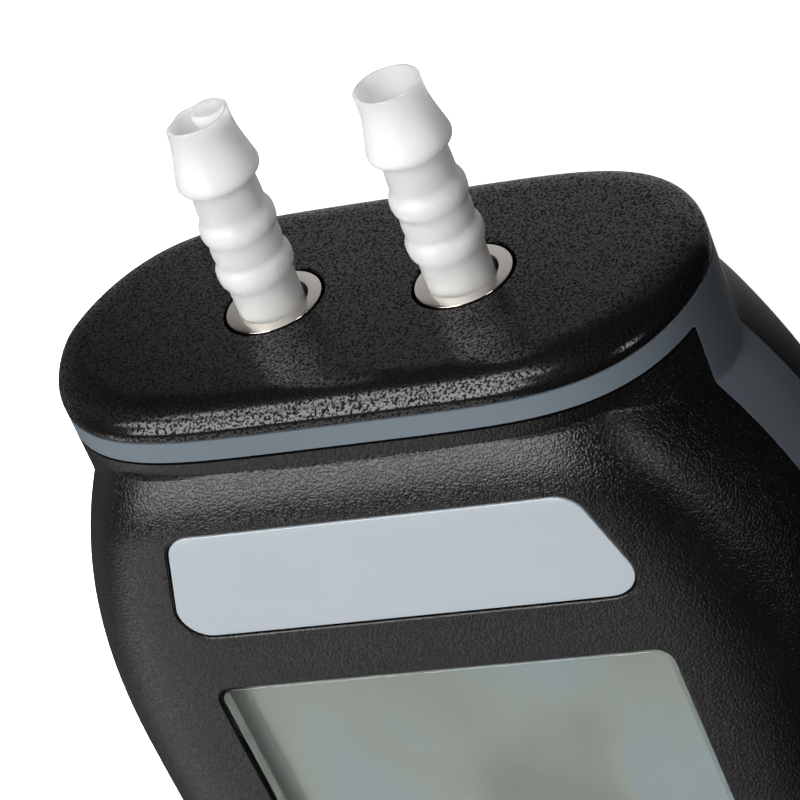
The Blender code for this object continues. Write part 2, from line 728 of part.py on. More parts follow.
def make_display(plate_material, lens_material, lcd_material, holder_material, connector_material):
    slab("label_plate", plate_outline(0.0), face_plane(-PLATE_RECESS - PLATE_THICKNESS),
         face_plane(-PLATE_RECESS), plate_material)

    seat = FACE_LEDGE + GAP
    lens_bottom = seat + LENS_FLANGE_THICKNESS
    inner = window_outline(-GAP)
    outer = window_outline(LENS_FLANGE)
    solid("window_lens", [level(inner, face_plane(-LENS_RECESS)), level(inner, face_plane(-seat)),
                          level(outer, face_plane(-seat)), level(outer, face_plane(-lens_bottom))],
          lens_material)

    lcd_top = lens_bottom + GAP
    lcd_bottom = lcd_top + LCD_THICKNESS
    slab("lcd_glass", window_outline(LCD_MARGIN), face_plane(-lcd_bottom), face_plane(-lcd_top),
         lcd_material)

    foot = BOARD_TOP + GAP
    shelf = lcd_bottom + GAP
    wide = window_outline(LCD_MARGIN + GAP + HOLDER_WALL)
    fit = window_outline(LCD_MARGIN + GAP)
    hollow = window_outline(LCD_MARGIN - HOLDER_SHELF)
    solid("lcd_holder", [level(wide, foot), level(wide, face_plane(-lcd_top)),
                         level(fit, face_plane(-lcd_top)), level(fit, face_plane(-shelf)),
                         level(hollow, face_plane(-shelf)), level(hollow, foot)],
          holder_material, closed_loop=True)

    inside = LCD_MARGIN - HOLDER_SHELF - GAP
    half = WINDOW_HALF_WIDTH + inside - WINDOW_CORNER
    for name, start in (("upper", WINDOW_TOP - inside),
                        ("lower", WINDOW_TOP + WINDOW_HEIGHT + inside - CONNECTOR_WIDTH)):
        outline = [(-half, TOP_Y - start - CONNECTOR_WIDTH), (half, TOP_Y - start - CONNECTOR_WIDTH),
                   (half, TOP_Y - start), (-half, TOP_Y - start)]
        slab(f"lcd_connector_{name}", outline, foot, face_plane(-shelf), connector_material)


# Circuit board and pressure sensor

def make_board(material):
    """The board follows the case's outline and has a hole at each case screw."""
    depths = np.linspace(BOARD_TOP_DEPTH, BOARD_BOTTOM_DEPTH, BOARD_STEPS + 1)
    half = half_width(depths) - BOARD_MARGIN
    right = [(float(x), float(TOP_Y - d)) for x, d in zip(half, depths)]
    left = [(-x, y) for x, y in reversed(right)]
    board = slab("circuit_board", right + left, BOARD_HEIGHT, BOARD_TOP, material)
    hole = SCREW_RADIUS + GAP
    levels = ((hole, BOARD_HEIGHT - CUT), (hole, BOARD_TOP + CUT))
    return cut(board, *[peg("board_hole_" + name, centre, levels, None, SCREW_STEPS)
                        for name, centre in screw_places()])


def make_sensor(material):
    top = BOARD_HEIGHT - GAP
    y_near = TOP_Y - SENSOR_DEPTH
    y_far = y_near - SENSOR_LENGTH
    sensor = box("pressure_sensor", (-SENSOR_WIDTH / 2, y_far, top - SENSOR_HEIGHT),
                 (SENSOR_WIDTH / 2, y_near, top), material)
    for side, sign in (("left", -1), ("right", 1)):
        x = sign * NIPPLE_SPACING / 2
        nipple = rod("nipple_" + side, x, nipple_height(),
                     ((TAIL_RADIUS, SENSOR_DEPTH + TAIL_RADIUS),
                      (TAIL_RADIUS, SENSOR_DEPTH - NIPPLE_LENGTH)), steps=HOSE_STEPS)
        join(sensor, nipple)
    return sensor


def nipple_height():
    return BOARD_HEIGHT - GAP - SENSOR_HEIGHT / 2


def make_hose(name, sign, material):
    """A short silicone hose from a bush's tail to the sensor: a ring carried along an S curve."""
    tail_end = BUSH_BODY_DEPTH + TAIL_LENGTH
    nipple_end = SENSOR_DEPTH - NIPPLE_LENGTH
    inner = TAIL_RADIUS + GAP
    outer = inner + HOSE_WALL
    stations = [BUSH_BODY_DEPTH + GAP]
    stations += list(np.linspace(tail_end, nipple_end, HOSE_ROWS + 1))
    stations.append(SENSOR_DEPTH - GAP)
    angles = np.linspace(0.0, 2.0 * math.pi, HOSE_STEPS, endpoint=False)
    start = np.array([sign * PORT_SPACING / 2, PORT_HEIGHT])
    finish = np.array([sign * NIPPLE_SPACING / 2, nipple_height()])

    def ring(depth, radius):
        t = np.clip((depth - tail_end) / (nipple_end - tail_end), 0.0, 1.0)
        ease = t * t * (3.0 - 2.0 * t)
        slope = 6.0 * t * (1.0 - t) / (nipple_end - tail_end)
        centre = start + (finish - start) * ease
        ahead = np.array([(finish[0] - start[0]) * slope, -1.0, (finish[1] - start[1]) * slope])
        ahead = ahead / np.linalg.norm(ahead)
        up = np.array([0.0, 0.0, 1.0])
        side = np.cross(ahead, up)
        side = side / np.linalg.norm(side)
        up = np.cross(side, ahead)
        middle = np.array([centre[0], TOP_Y - depth, centre[1]])
        return [middle + radius * (math.cos(a) * side + math.sin(a) * up) for a in angles]

    rings = [ring(depth, outer) for depth in stations]
    rings += [ring(depth, inner) for depth in reversed(stations)]
    return solid(name, rings, material, closed_loop=True)


# Hose ports

def port_sides():
    return (("left", -PORT_SPACING / 2), ("right", PORT_SPACING / 2))


def make_bush(side, x, material):
    """A turned, plated bush: flush head, flange under the cap, socket for the barb, hose tail."""
    flange_top = CAP_SIDE + GAP + SEAL_THICKNESS + GAP
    socket = BARB_TUBE_RADIUS + GAP
    tail_end = BUSH_BODY_DEPTH + TAIL_LENGTH
    profile = [
        (socket, 0.0),
        (BUSH_RADIUS - BUSH_CHAMFER, 0.0), (BUSH_RADIUS, BUSH_CHAMFER),
        (BUSH_RADIUS, flange_top), (BUSH_FLANGE_RADIUS, flange_top),
        (BUSH_FLANGE_RADIUS, flange_top + BUSH_FLANGE), (BUSH_RADIUS, flange_top + BUSH_FLANGE),
        (BUSH_RADIUS, BUSH_BODY_DEPTH), (TAIL_RADIUS, BUSH_BODY_DEPTH),
        (TAIL_RADIUS, tail_end), (TAIL_BORE, tail_end),
        (TAIL_BORE, BUSH_SOCKET_DEPTH), (socket, BUSH_SOCKET_DEPTH),
    ]
    return turned("port_bush_" + side, profile, material, x, PORT_HEIGHT)


def make_seal(side, x, material):
    start = CAP_SIDE + GAP
    profile = [(BUSH_RADIUS + GAP, start), (BUSH_FLANGE_RADIUS, start),
               (BUSH_FLANGE_RADIUS, start + SEAL_THICKNESS), (BUSH_RADIUS + GAP, start + SEAL_THICKNESS)]
    return turned("bush_seal_" + side, profile, material, x, PORT_HEIGHT)


def barb_profile():
    """Outside of a hose barb as (radius, height), from the socket up to the tip."""
    tube = BARB_TUBE_RADIUS
    points = [(tube, -BUSH_SOCKET_DEPTH + GAP)]
    for middle in reversed(BARB_RING_HEIGHTS):
        for step in range(BARB_STEPS + 1):
            t = step / BARB_STEPS
            points.append((tube + BARB_RING_RISE * math.sin(math.pi * t),
                           middle + BARB_RING_LENGTH * (t - 0.5)))
    points.append((tube, BARB_NECK_HEIGHT))
    points.append((BARB_MAX_RADIUS - BARB_EDGE_INSET, BARB_NECK_HEIGHT + BARB_EDGE_RISE))
    points.append((BARB_MAX_RADIUS, BARB_MAX_HEIGHT - BARB_LAND_BELOW))
    taper_start = BARB_MAX_HEIGHT + BARB_LAND_ABOVE
    for step in range(BARB_STEPS + 1):
        t = step / BARB_STEPS
        waist = BARB_TIP_RADIUS + (BARB_MAX_RADIUS - BARB_TIP_RADIUS) * (1.0 - t) ** BARB_TAPER_POWER
        points.append((waist, taper_start + (BARB_HEIGHT - taper_start) * t))
    return points


def make_barb(side, x, material, dent):
    outside = barb_profile()
    inside = [(BARB_TIP_RADIUS - BARB_LIP, BARB_HEIGHT),
              (BARB_BORE_RADIUS, BARB_HEIGHT - BARB_MOUTH_DEPTH),
              (BARB_BORE_RADIUS, -BUSH_SOCKET_DEPTH + GAP)]
    profile = [(radius, -height) for radius, height in outside + inside]
    barb = turned("hose_barb_" + side, profile, material, x, PORT_HEIGHT)
    if dent:
        press_tip(barb, x)
    return barb


def press_tip(barb, x):
    """The left barb's rim is worn down and pushed in on its rear outer side."""
    tip_y = TOP_Y + BARB_HEIGHT
    for vertex in barb.data.vertices:
        closeness = max(0.0, 1.0 - (tip_y - vertex.co.y) / TIP_DENT_REACH)
        angle = math.atan2(vertex.co.z - PORT_HEIGHT, vertex.co.x - x)
        facing = max(0.0, math.cos(angle - math.radians(TIP_DENT_SIDE))) ** 2
        amount = closeness * facing
        vertex.co.y -= TIP_DENT * amount
        vertex.co.x += (x - vertex.co.x) * TIP_DENT_SQUEEZE * amount
        vertex.co.z += (PORT_HEIGHT - vertex.co.z) * TIP_DENT_SQUEEZE * amount


# Keys and their switches

def key_places():
    return ((1, -KEY_PITCH), (2, 0.0), (3, KEY_PITCH))


def key_outline(x, grow):
    return rounded_box(KEY_WIDTH / 2 + grow, KEY_DEPTH - KEY_LENGTH / 2 - grow,
                       KEY_DEPTH + KEY_LENGTH / 2 + grow, KEY_CORNER + grow, x)


def make_keys(key_material, switch_material, stem_material):
    centre_y = TOP_Y - KEY_DEPTH
    switch_top = BOARD_TOP + GAP + SWITCH_HEIGHT
    stem_top = switch_top + KEY_TRAVEL + STEM_HEIGHT
    flange_top = -FACE_LEDGE - GAP
    for index, x in key_places():
        edge = KEY_EDGE
        body = key_outline(x, 0.0)
        flange = key_outline(x, KEY_FLANGE)
        foot = [(x + KEY_FOOT_SHARE * (px - x), centre_y + KEY_FOOT_SHARE * (py - centre_y))
                for px, py in body]
        shoulder = KEY_EDGE_SHARE * edge
        rings = [level(key_outline(x, -edge), face_plane(KEY_PROUD)),
                 level(key_outline(x, -shoulder), face_plane(KEY_PROUD - shoulder)),
                 level(body, face_plane(KEY_PROUD - edge)),
                 level(body, face_plane(flange_top)),
                 level(flange, face_plane(flange_top)),
                 level(flange, face_plane(flange_top - KEY_FLANGE_THICKNESS)),
                 level(foot, face_plane(flange_top - KEY_FLANGE_THICKNESS)),
                 level(foot, stem_top + GAP)]
        solid(f"key_cap_{index}", rings, key_material)

        half = SWITCH_SIZE / 2
        well = STEM_RADIUS + GAP
        housing = box(f"switch_housing_{index}", (x - half, centre_y - half, BOARD_TOP + GAP),
                      (x + half, centre_y + half, switch_top), switch_material)
        floor = switch_top - STEM_SUNK - KEY_TRAVEL - GAP
        cut(housing, peg(f"switch_well_{index}", (x, centre_y),
                         ((well, floor), (well, switch_top + CUT)), None))
        peg(f"switch_stem_{index}", (x, centre_y),
            ((STEM_RADIUS, switch_top - STEM_SUNK), (STEM_RADIUS, stem_top)), stem_material)


# Battery bay

def cover_top():
    return BAY_DEPTH - COVER_LEDGE


def cover_bottom():
    return bay_bottom() + COVER_TAB


def cover_outline(grow):
    return rounded_box(cover_half_width() + grow, cover_top() - grow, cover_bottom() + grow,
                       COVER_CORNER + grow)


def cover_screw_centre():
    return (0.0, TOP_Y - bay_bottom() - COVER_TAB / 2)


def cover_screw_end():
    return COVER_SCREW_SEAT + COVER_SCREW_LENGTH


def screw_hole(name, centre, low, seat, high):
    """A counterbore for a screw's head up to its seat, and a clearance hole on from there."""
    head = SCREW_HEAD_RADIUS + GAP
    shank = SCREW_RADIUS + GAP
    levels = ((head, low), (head, seat), (shank, seat), (shank, high))
    return peg(name, centre, levels, None, SCREW_STEPS)


def make_screw(name, centre, head_bottom, head_height, length, material):
    """A pan-head screw with a plain shank and a hexagonal drive; its head faces the back."""
    seat = head_bottom + head_height
    edge = SCREW_HEAD_EDGE
    screw = peg(name, centre, ((SCREW_HEAD_RADIUS - edge, head_bottom),
                               (SCREW_HEAD_RADIUS, head_bottom + edge), (SCREW_HEAD_RADIUS, seat),
                               (SCREW_RADIUS, seat), (SCREW_RADIUS, seat + length)),
                material, SCREW_STEPS)
    drive_end = head_bottom + SCREW_DRIVE_SHARE * head_height
    drive = peg(name + "_drive", centre, ((SCREW_DRIVE_RADIUS, head_bottom - CUT),
                                          (SCREW_DRIVE_RADIUS, drive_end)), None, 6)
    return cut(screw, drive)


def make_battery_bay(cover_material, cell_material, contact_material, screw_material):
    cover = slab("battery_cover", cover_outline(0.0), 0.0, COVER_THICKNESS, cover_material)
    tools = [screw_hole("cover_hole", cover_screw_centre(), -CUT, COVER_SCREW_SEAT + GAP,
                        COVER_THICKNESS + CUT)]
    for row in range(GROOVE_COUNT):
        y = TOP_Y - cover_top() - GROOVE_START - row * GROOVE_PITCH
        tools.append(box(f"thumb_groove_{row}", (-GROOVE_HALF_LENGTH, y - GROOVE_WIDTH, -CUT),
                         (GROOVE_HALF_LENGTH, y, GROOVE_DEPTH)))
    cut(cover, *tools)
    make_screw("battery_cover_screw", cover_screw_centre(), COVER_SCREW_SEAT - COVER_SCREW_HEAD,
               COVER_SCREW_HEAD, COVER_SCREW_LENGTH, screw_material)

    axis_z = COVER_THICKNESS + 2.0 * CELL_CLEARANCE + CELL_RADIUS
    plate_low = COVER_THICKNESS + GAP + CELL_CLEARANCE
    plate_high = bay_ceiling() - GAP
    spring_room = CONTACT_ROOM - CONTACT_PLATE * 2.0 - GAP * 5.0
    for index in range(CELL_COUNT):
        x = (index - 0.5 * (CELL_COUNT - 1)) * CELL_PITCH
        turned_end = index % 2 == 1
        plus_depth = BAY_DEPTH + GAP + CONTACT_PLATE + GAP
        if turned_end:
            plus_depth = bay_bottom() - GAP - CONTACT_PLATE - GAP
        make_cell(f"battery_cell_{index + 1}", x, axis_z, plus_depth, turned_end, cell_material)
        half = CELL_PITCH / 2 - GAP
        top_plate = BAY_DEPTH + GAP
        bottom_plate = bay_bottom() - GAP - CONTACT_PLATE
        for label, depth in (("top", top_plate), ("bottom", bottom_plate)):
            box(f"contact_{label}_{index + 1}", (x - half, TOP_Y - depth - CONTACT_PLATE, plate_low),
                (x + half, TOP_Y - depth, plate_high), contact_material)
        spring_start = bottom_plate - GAP
        direction = -1.0
        if turned_end:
            spring_start = top_plate + CONTACT_PLATE + GAP
            direction = 1.0
        make_spring(f"battery_spring_{index + 1}", x, axis_z, spring_start, direction, spring_room,
                    contact_material)


def make_cell(name, x, z, plus_depth, turned_end, material):
    r = CELL_RADIUS
    along = [(CELL_NUB_RADIUS, 0.0), (CELL_NUB_RADIUS, CELL_NUB), (r - CELL_EDGE, CELL_NUB),
             (r, CELL_NUB + CELL_EDGE), (r, CELL_LENGTH - CELL_EDGE), (r - CELL_EDGE, CELL_LENGTH)]
    direction = -1.0 if turned_end else 1.0
    return rod(name, x, z, [(radius, plus_depth + direction * distance) for radius, distance in along],
               material)


def make_spring(name, x, z, start, direction, length, material):
    """A conical coil of wire along Y, worked out turn by turn."""
    steps = SPRING_STEPS * SPRING_TURNS
    ring_steps = 4
    rings = []
    usable = length - 2.0 * SPRING_WIRE
    for k in range(steps + 1):
        t = k / steps
        turn = 2.0 * math.pi * SPRING_TURNS * t
        radius = SPRING_RADIUS * (1.0 - SPRING_TAPER * t)
        depth = start + direction * (SPRING_WIRE + usable * t)
        outward = np.array([math.cos(turn), 0.0, math.sin(turn)])
        along = np.array([0.0, 1.0, 0.0])
        centre = np.array([x, TOP_Y - depth, z]) + radius * outward
        rings.append([centre + SPRING_WIRE * (math.cos(a) * outward + math.sin(a) * along)
                      for a in np.linspace(0.0, 2.0 * math.pi, ring_steps, endpoint=False)])
    return solid(name, rings, material)


def main():
    clear_scene()
    black = make_material("black_abs", (0.03, 0.03, 0.032), 0.5)
    grey = make_material("grey_elastomer", (0.19, 0.22, 0.25), 0.6)
    silver_plate = make_material("satin_plate", (0.52, 0.56, 0.6), 0.4, metallic=0.3)
    clear = make_material("clear_window", (0.9, 0.93, 0.9), 0.05, transmission=0.9)
    lcd = make_material("lcd_glass", (0.3, 0.34, 0.3), 0.25)
    nickel = make_material("nickel", (0.7, 0.66, 0.6), 0.25, metallic=1.0)
    milky = make_material("milky_plastic", (0.85, 0.86, 0.87), 0.4)
    board_green = make_material("board_green", (0.03, 0.16, 0.06), 0.5)
    white = make_material("white_plastic", (0.7, 0.7, 0.68), 0.5)
    rubber = make_material("silicone", (0.55, 0.56, 0.56), 0.6)
    steel = make_material("bright_steel", (0.6, 0.6, 0.6), 0.3, metallic=1.0)
    cell_jacket = make_material("cell_jacket", (0.1, 0.1, 0.12), 0.4)

    make_end_cap(black)
    make_side_band(grey)
    make_front_case(black)
    make_rear_case(black)
    make_display(silver_plate, clear, lcd, white, rubber)
    make_board(board_green)
    make_sensor(white)
    for side, x in port_sides():
        make_bush(side, x, nickel)
        make_seal(side, x, rubber)
        make_barb(side, x, milky, dent=side == "left")
        make_hose("inner_hose_" + side, math.copysign(1.0, x), rubber)
    make_keys(rubber, black, white)
    make_battery_bay(black, cell_jacket, steel, steel)
    for name, centre in screw_places():
        make_screw("case_screw_" + name, centre, SCREW_HEAD_SUNK, SCREW_HEAD_HEIGHT, SCREW_LENGTH, steel)


main()
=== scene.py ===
import math

import bmesh
import bpy
import numpy as np
from mathutils import Matrix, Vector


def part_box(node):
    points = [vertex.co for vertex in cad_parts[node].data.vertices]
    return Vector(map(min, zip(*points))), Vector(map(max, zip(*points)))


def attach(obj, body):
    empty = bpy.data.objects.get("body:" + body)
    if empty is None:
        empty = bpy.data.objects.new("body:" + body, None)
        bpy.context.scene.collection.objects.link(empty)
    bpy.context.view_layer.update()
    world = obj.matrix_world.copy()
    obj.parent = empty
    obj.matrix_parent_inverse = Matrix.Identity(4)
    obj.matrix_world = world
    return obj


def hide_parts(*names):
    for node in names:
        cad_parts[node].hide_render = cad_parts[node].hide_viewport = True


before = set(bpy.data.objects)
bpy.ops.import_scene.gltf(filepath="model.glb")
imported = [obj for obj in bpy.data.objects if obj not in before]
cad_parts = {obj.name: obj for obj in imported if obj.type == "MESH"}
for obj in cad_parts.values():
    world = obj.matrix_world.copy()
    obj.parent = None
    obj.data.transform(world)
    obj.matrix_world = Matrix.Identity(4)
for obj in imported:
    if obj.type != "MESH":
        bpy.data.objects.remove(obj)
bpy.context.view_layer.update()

mm = 0.001
print("frame loaded:", len(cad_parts), "solids")

# The case, in millimetres. A depth is the distance from the top of the end cap towards the handle.
caseForm = {
    "length": 152.0, "halfWidth": 41.85, "widestDepth": 46.0,
    "shoulderNarrowing": 12.25, "shoulderPower": 2.3,
    "handleNarrowing": 10.35, "handlePower": 2.0,
    "footRound": 17.0, "footPower": 3.0, "footHalfWidth": 15.0,
    "footEdgeRound": 8.0, "footEdgePower": 2.2, "footMargin": 0.6,
    "midHeight": 17.3, "faceTop": 38.1, "faceSlope": 0.053, "backCrown": 0.9,
    "frontPowers": (9.0, 1.54), "backPowers": (7.0, 2.0),
    "collarHalfWidth": 33.9, "collarRise": 18.2, "collarDrop": 16.7,
    "collarFrontPowers": (5.0, 1.74), "collarBackPowers": (5.5, 1.5),
    "shoulderTop": 6.1, "crease": 7.1, "flareLength": 7.0, "flareEnd": 26.0, "creaseFillet": 0.14,
    "backFillet": 0.06, "wall": 2.2, "gap": 0.3, "seam": 0.1,
    "bandTop": 2.9, "bandBottom": 5.2, "caseTop": 5.5,
    "stripFront": 23.6, "stripBack": 14.0,
}
topY = caseForm["length"] / 2
past = 5.0                                         # how far cutting tools reach beyond a face
midRound = 0.3                                     # where a two-step rounding has its middle point


# Making meshes out of whole arrays of points

def gridQuads(rows, columns):
    # corner numbers of the squares between neighbouring rows; the last column is joined to the first
    across = np.arange(columns)
    down = np.arange(rows - 1)[:, None] * columns
    near = down + across
    far = down + (across + 1) % columns
    return np.stack([near, far, far + columns, near + columns], axis=-1).reshape(-1, 4)


def addPiece(name, points, faces):
    mesh = bpy.data.meshes.new(name)
    mesh.from_pydata((points.reshape(-1, 3) * mm).tolist(), [], faces)
    bm = bmesh.new()
    bm.from_mesh(mesh)
    bmesh.ops.remove_doubles(bm, verts=bm.verts, dist=1e-7)
    bmesh.ops.recalc_face_normals(bm, faces=bm.faces)
    bm.to_mesh(mesh)
    bm.free()
    piece = bpy.data.objects.new(name, mesh)
    bpy.context.scene.collection.objects.link(piece)
    return piece


def ringSolid(name, rings, loop=False):
    # skins rings of equally many points; the two ends are filled, or joined to each other in a loop
    rows, columns = rings.shape[:2]
    faces = gridQuads(rows, columns).tolist()
    if loop:
        last = (rows - 1) * columns
        across = np.arange(columns)
        after = (across + 1) % columns
        faces += np.stack([last + across, last + after, after, across], axis=-1).tolist()
    else:
        faces.append(list(range(columns)))
        faces.append(list(range((rows - 1) * columns, rows * columns)))
    return addPiece(name, rings, faces)


def turnedRings(profile, x, z, steps):
    # profile (radius, y) carried round an axis along Y through (x, z)
    profile = np.asarray(profile, float)
    angle = np.linspace(0, 2 * math.pi, steps, endpoint=False)
    radius = profile[:, 0, None]
    return np.stack([x + radius * np.cos(angle), profile[:, 1, None] + 0 * angle,
                     z + radius * np.sin(angle)], axis=-1)


def peggedRings(profile, x, y, steps):
    # profile (radius, z) carried round an axis along Z through (x, y)
    return turnedRings(profile, x, y, steps)[..., [0, 2, 1]]


def outlineRings(outlines, heights):
    # stacks outlines (x, y) with their heights, each a number or an array of one height a point
    rings = []
    for outline, height in zip(outlines, heights):
        rings.append(np.column_stack([outline, np.zeros(len(outline)) + height]))
    return np.stack(rings)


def roundedOutline(corners, radius, cornerSteps, sideSteps):
    # a convex polygon whose corners are arcs of the radius, with evenly spaced points along its sides
    corners = np.asarray(corners, float)
    arcs = []
    for i in range(len(corners)):
        here = corners[i]
        back = corners[i - 1] - here
        ahead = corners[(i + 1) % len(corners)] - here
        back = back / np.linalg.norm(back)
        ahead = ahead / np.linalg.norm(ahead)
        half = 0.5 * math.acos(float(np.clip(back @ ahead, -1, 1)))
        middle = (back + ahead) / np.linalg.norm(back + ahead)
        centre = here + middle * radius / math.sin(half)
        start = here + back * radius / math.tan(half) - centre
        end = here + ahead * radius / math.tan(half) - centre
        first = math.atan2(start[1], start[0])
        turn = (math.atan2(end[1], end[0]) - first + math.pi) % (2 * math.pi) - math.pi
        angle = first + turn * np.linspace(0, 1, cornerSteps + 1)
        arcs.append(centre + radius * np.column_stack([np.cos(angle), np.sin(angle)]))
    points = []
    for i, arc in enumerate(arcs):
        share = np.linspace(0, 1, sideSteps + 1)[1:-1, None]
        points += [arc, arc[-1] + (arcs[(i + 1) % len(arcs)][0] - arc[-1]) * share]
    return np.concatenate(points)


def boxOutline(left, right, top, bottom, radius, cornerSteps, sideSteps, grow=0.0):
    # a rounded rectangle, grown on all sides; top and bottom are depths
    high = topY - (top - grow)
    low = topY - (bottom + grow)
    corners = [(left - grow, low), (right + grow, low), (right + grow, high), (left - grow, high)]
    return roundedOutline(corners, max(radius + grow, 0.3), cornerSteps, sideSteps)


def workIn(target, operation, *tools):
    # one Boolean with all the tools at once, worked into the mesh so that nothing stays live
    group = bpy.data.collections.new(target.name + operation)
    for tool in tools:
        group.objects.link(tool)
    modifier = target.modifiers.new(operation, "BOOLEAN")
    modifier.operation = operation
    modifier.solver = "MANIFOLD"
    modifier.operand_type = "COLLECTION"
    modifier.collection = group
    bpy.context.view_layer.update()
    graph = bpy.context.evaluated_depsgraph_get()
    mesh = bpy.data.meshes.new_from_object(target.evaluated_get(graph))
    target.modifiers.clear()
    target.data = mesh
    for tool in tools:
        bpy.data.objects.remove(tool, do_unlink=True)
    bpy.data.collections.remove(group)


def trimAt(piece, height, keepAbove):
    # cuts a closed piece flat at a height and fills the cut
    bm = bmesh.new()
    bm.from_mesh(piece.data)
    side = -1 if keepAbove else 1
    cut = bmesh.ops.bisect_plane(bm, geom=bm.verts[:] + bm.edges[:] + bm.faces[:], dist=1e-8,
                                 plane_co=(0, 0, height * mm), plane_no=(0, 0, side), clear_outer=True)
    rim = [part for part in cut["geom_cut"] if isinstance(part, bmesh.types.BMEdge)]
    bmesh.ops.contextual_create(bm, geom=rim)
    bmesh.ops.recalc_face_normals(bm, faces=bm.faces)
    bm.to_mesh(piece.data)
    bm.free()
    return piece


def finishPiece(piece, body, node, finish, sharp):
    # smooth shading with crisp edges, and large faces that keep their own direction
    piece.data.materials.clear()
    piece.data.materials.append(finishes[finish])
    piece.data.shade_smooth()
    piece.data.set_sharp_from_angle(angle=math.radians(sharp))
    weighted = piece.modifiers.new("weighted", "WEIGHTED_NORMAL")
    weighted.keep_sharp = True
    weighted.weight = 60
    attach(piece, body)
    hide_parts(node)


# The case's section: a Lame curve |x/w|^n + |z/h|^m = 1 about the middle height, front and back apart

def halved(isInside, near, far, rounds):
    # where isInside turns false between near and far, by halving the range in whole arrays
    for _ in range(rounds):
        middle = (near + far) / 2
        inside = isInside(middle)
        near = np.where(inside, middle, near)
        far = np.where(inside, far, middle)
    return (near + far) / 2


def lameRadius(angle, wide, rise, powers):
    # distance along each angle to the curve
    across = np.abs(np.cos(angle)) / wide
    up = np.abs(np.sin(angle)) / rise
    near = np.zeros(np.broadcast(across, up).shape)
    return halved(lambda r: (across * r) ** powers[0] + (up * r) ** powers[1] < 1,
                  near, near + 2 * (wide + rise), 44)


def endFactor(distance, length, power, last):
    # falls from 1 to last over a length as the quarter of a superellipse
    t = np.clip(distance / length, 0, 1)
    reach = (1 - last ** power) ** (1 / power)
    return (1 - (reach * t) ** power) ** (1 / power)


def halfWidth(depth, inset=0):
    # widest at one depth, and narrowing from there to both ends by a power of the distance
    f = caseForm
    over = np.clip((f["widestDepth"] - depth) / (f["widestDepth"] - f["shoulderTop"]), 0, None)
    under = np.clip((depth - f["widestDepth"]) / (f["length"] - f["widestDepth"]), 0, None)
    return (f["halfWidth"] - f["shoulderNarrowing"] * over ** f["shoulderPower"]
            - f["handleNarrowing"] * under ** f["handlePower"] - inset)


def flareShare(depth):
    # how much of the drop into the collar is left: 1 at the crease, falling off as a square
    f = caseForm
    return np.clip(1 - (depth - f["crease"]) / f["flareLength"], 0, 1) ** 2


def facePlane(depth):
    # the face is a plane that falls towards the foot
    return caseForm["faceTop"] - caseForm["faceSlope"] * depth


def faceRise(depth):
    # height of the face's middle above the axis, with the drop into the collar
    f = caseForm
    drop = facePlane(f["crease"]) - f["midHeight"] - f["collarRise"]
    return facePlane(depth) - drop * flareShare(depth) - f["midHeight"]


def faceAt(x, y):
    # height of the front face over a point: middle height + rise (1 - |x/w|^n)^(1/m)
    f = caseForm
    depth = topY - y
    n, m = f["frontPowers"]
    return f["midHeight"] + faceRise(depth) * (1 - np.abs(x / halfWidth(depth)) ** n) ** (1 / m)


def planeAt(y, offset=0):
    return facePlane(topY - y) + offset


def bodyRadius(angle, depth, inset):
    # the Lame section, whose width and height round off over the foot as quarters of superellipses
    f = caseForm
    length = f["length"] - inset
    wide = halfWidth(depth, inset)
    wide = wide * endFactor(depth - (length - f["footRound"]), f["footRound"], f["footPower"],
                            f["footHalfWidth"] / wide)
    rise = faceRise(depth) - inset
    fullDrop = f["midHeight"] + f["backCrown"] - inset
    drop = fullDrop - (fullDrop - (f["collarDrop"] - inset)) * flareShare(depth)
    edge = depth - (length - f["footEdgeRound"])
    frontEnd = (f["stripFront"] - f["midHeight"] - f["footMargin"]) / rise
    backEnd = (f["midHeight"] - f["stripBack"] - f["footMargin"]) / drop
    rise = rise * endFactor(edge, f["footEdgeRound"], f["footEdgePower"], frontEnd)
    drop = drop * endFactor(edge, f["footEdgeRound"], f["footEdgePower"], backEnd)
    return np.where(np.sin(angle) >= 0, lameRadius(angle, wide, rise, f["frontPowers"]),
                    lameRadius(angle, wide, drop, f["backPowers"]))


def collarRadius(angle, inset):
    # the end cap's own Lame section, the same at every depth
    f = caseForm
    wide = f["collarHalfWidth"] - inset
    return np.where(np.sin(angle) >= 0,
                    lameRadius(angle, wide, f["collarRise"] - inset, f["collarFrontPowers"]),
                    lameRadius(angle, wide, f["collarDrop"] - inset, f["collarBackPowers"]))


def quarterAngles(steps, wide, rise, powers):
    # directions spaced half by length along the curve and half by how much it turns
    angle = np.linspace(1e-6, math.pi / 2, 3000)
    radius = lameRadius(angle, wide, rise, powers)
    x = radius * np.cos(angle)
    z = radius * np.sin(angle)
    length = np.hypot(np.diff(x), np.diff(z))
    heading = np.unwrap(np.arctan2(np.diff(z), np.diff(x)))
    turning = np.concatenate([[0], np.abs(np.diff(heading))])
    weight = np.concatenate([[0], np.cumsum(length / length.sum() + turning / turning.sum())])
    found = np.interp(np.linspace(0, weight[-1], steps + 1), weight, angle)
    found[0] = 0
    return found


def sectionAngles(steps):
    # directions round the whole section, from the right side over the front to the back
    f = caseForm
    depth = f["widestDepth"]
    front = quarterAngles(steps, f["halfWidth"], faceRise(depth), f["frontPowers"])
    back = quarterAngles(steps, f["halfWidth"], f["midHeight"] + f["backCrown"], f["backPowers"])
    upper = np.concatenate([front, math.pi - front[::-1][1:]])
    lower = np.concatenate([back[1:], math.pi - back[::-1][1:]])
    return np.concatenate([upper, -lower[::-1][1:]])


def creaseDepth(angle, inset):
    # where the flaring body comes out of the collar, along each direction
    near = np.zeros_like(angle) + caseForm["crease"]
    far = np.zeros_like(angle) + caseForm["flareEnd"]
    collar = collarRadius(angle, inset)
    return halved(lambda depth: bodyRadius(angle, depth, inset) < collar, near, far, 40)


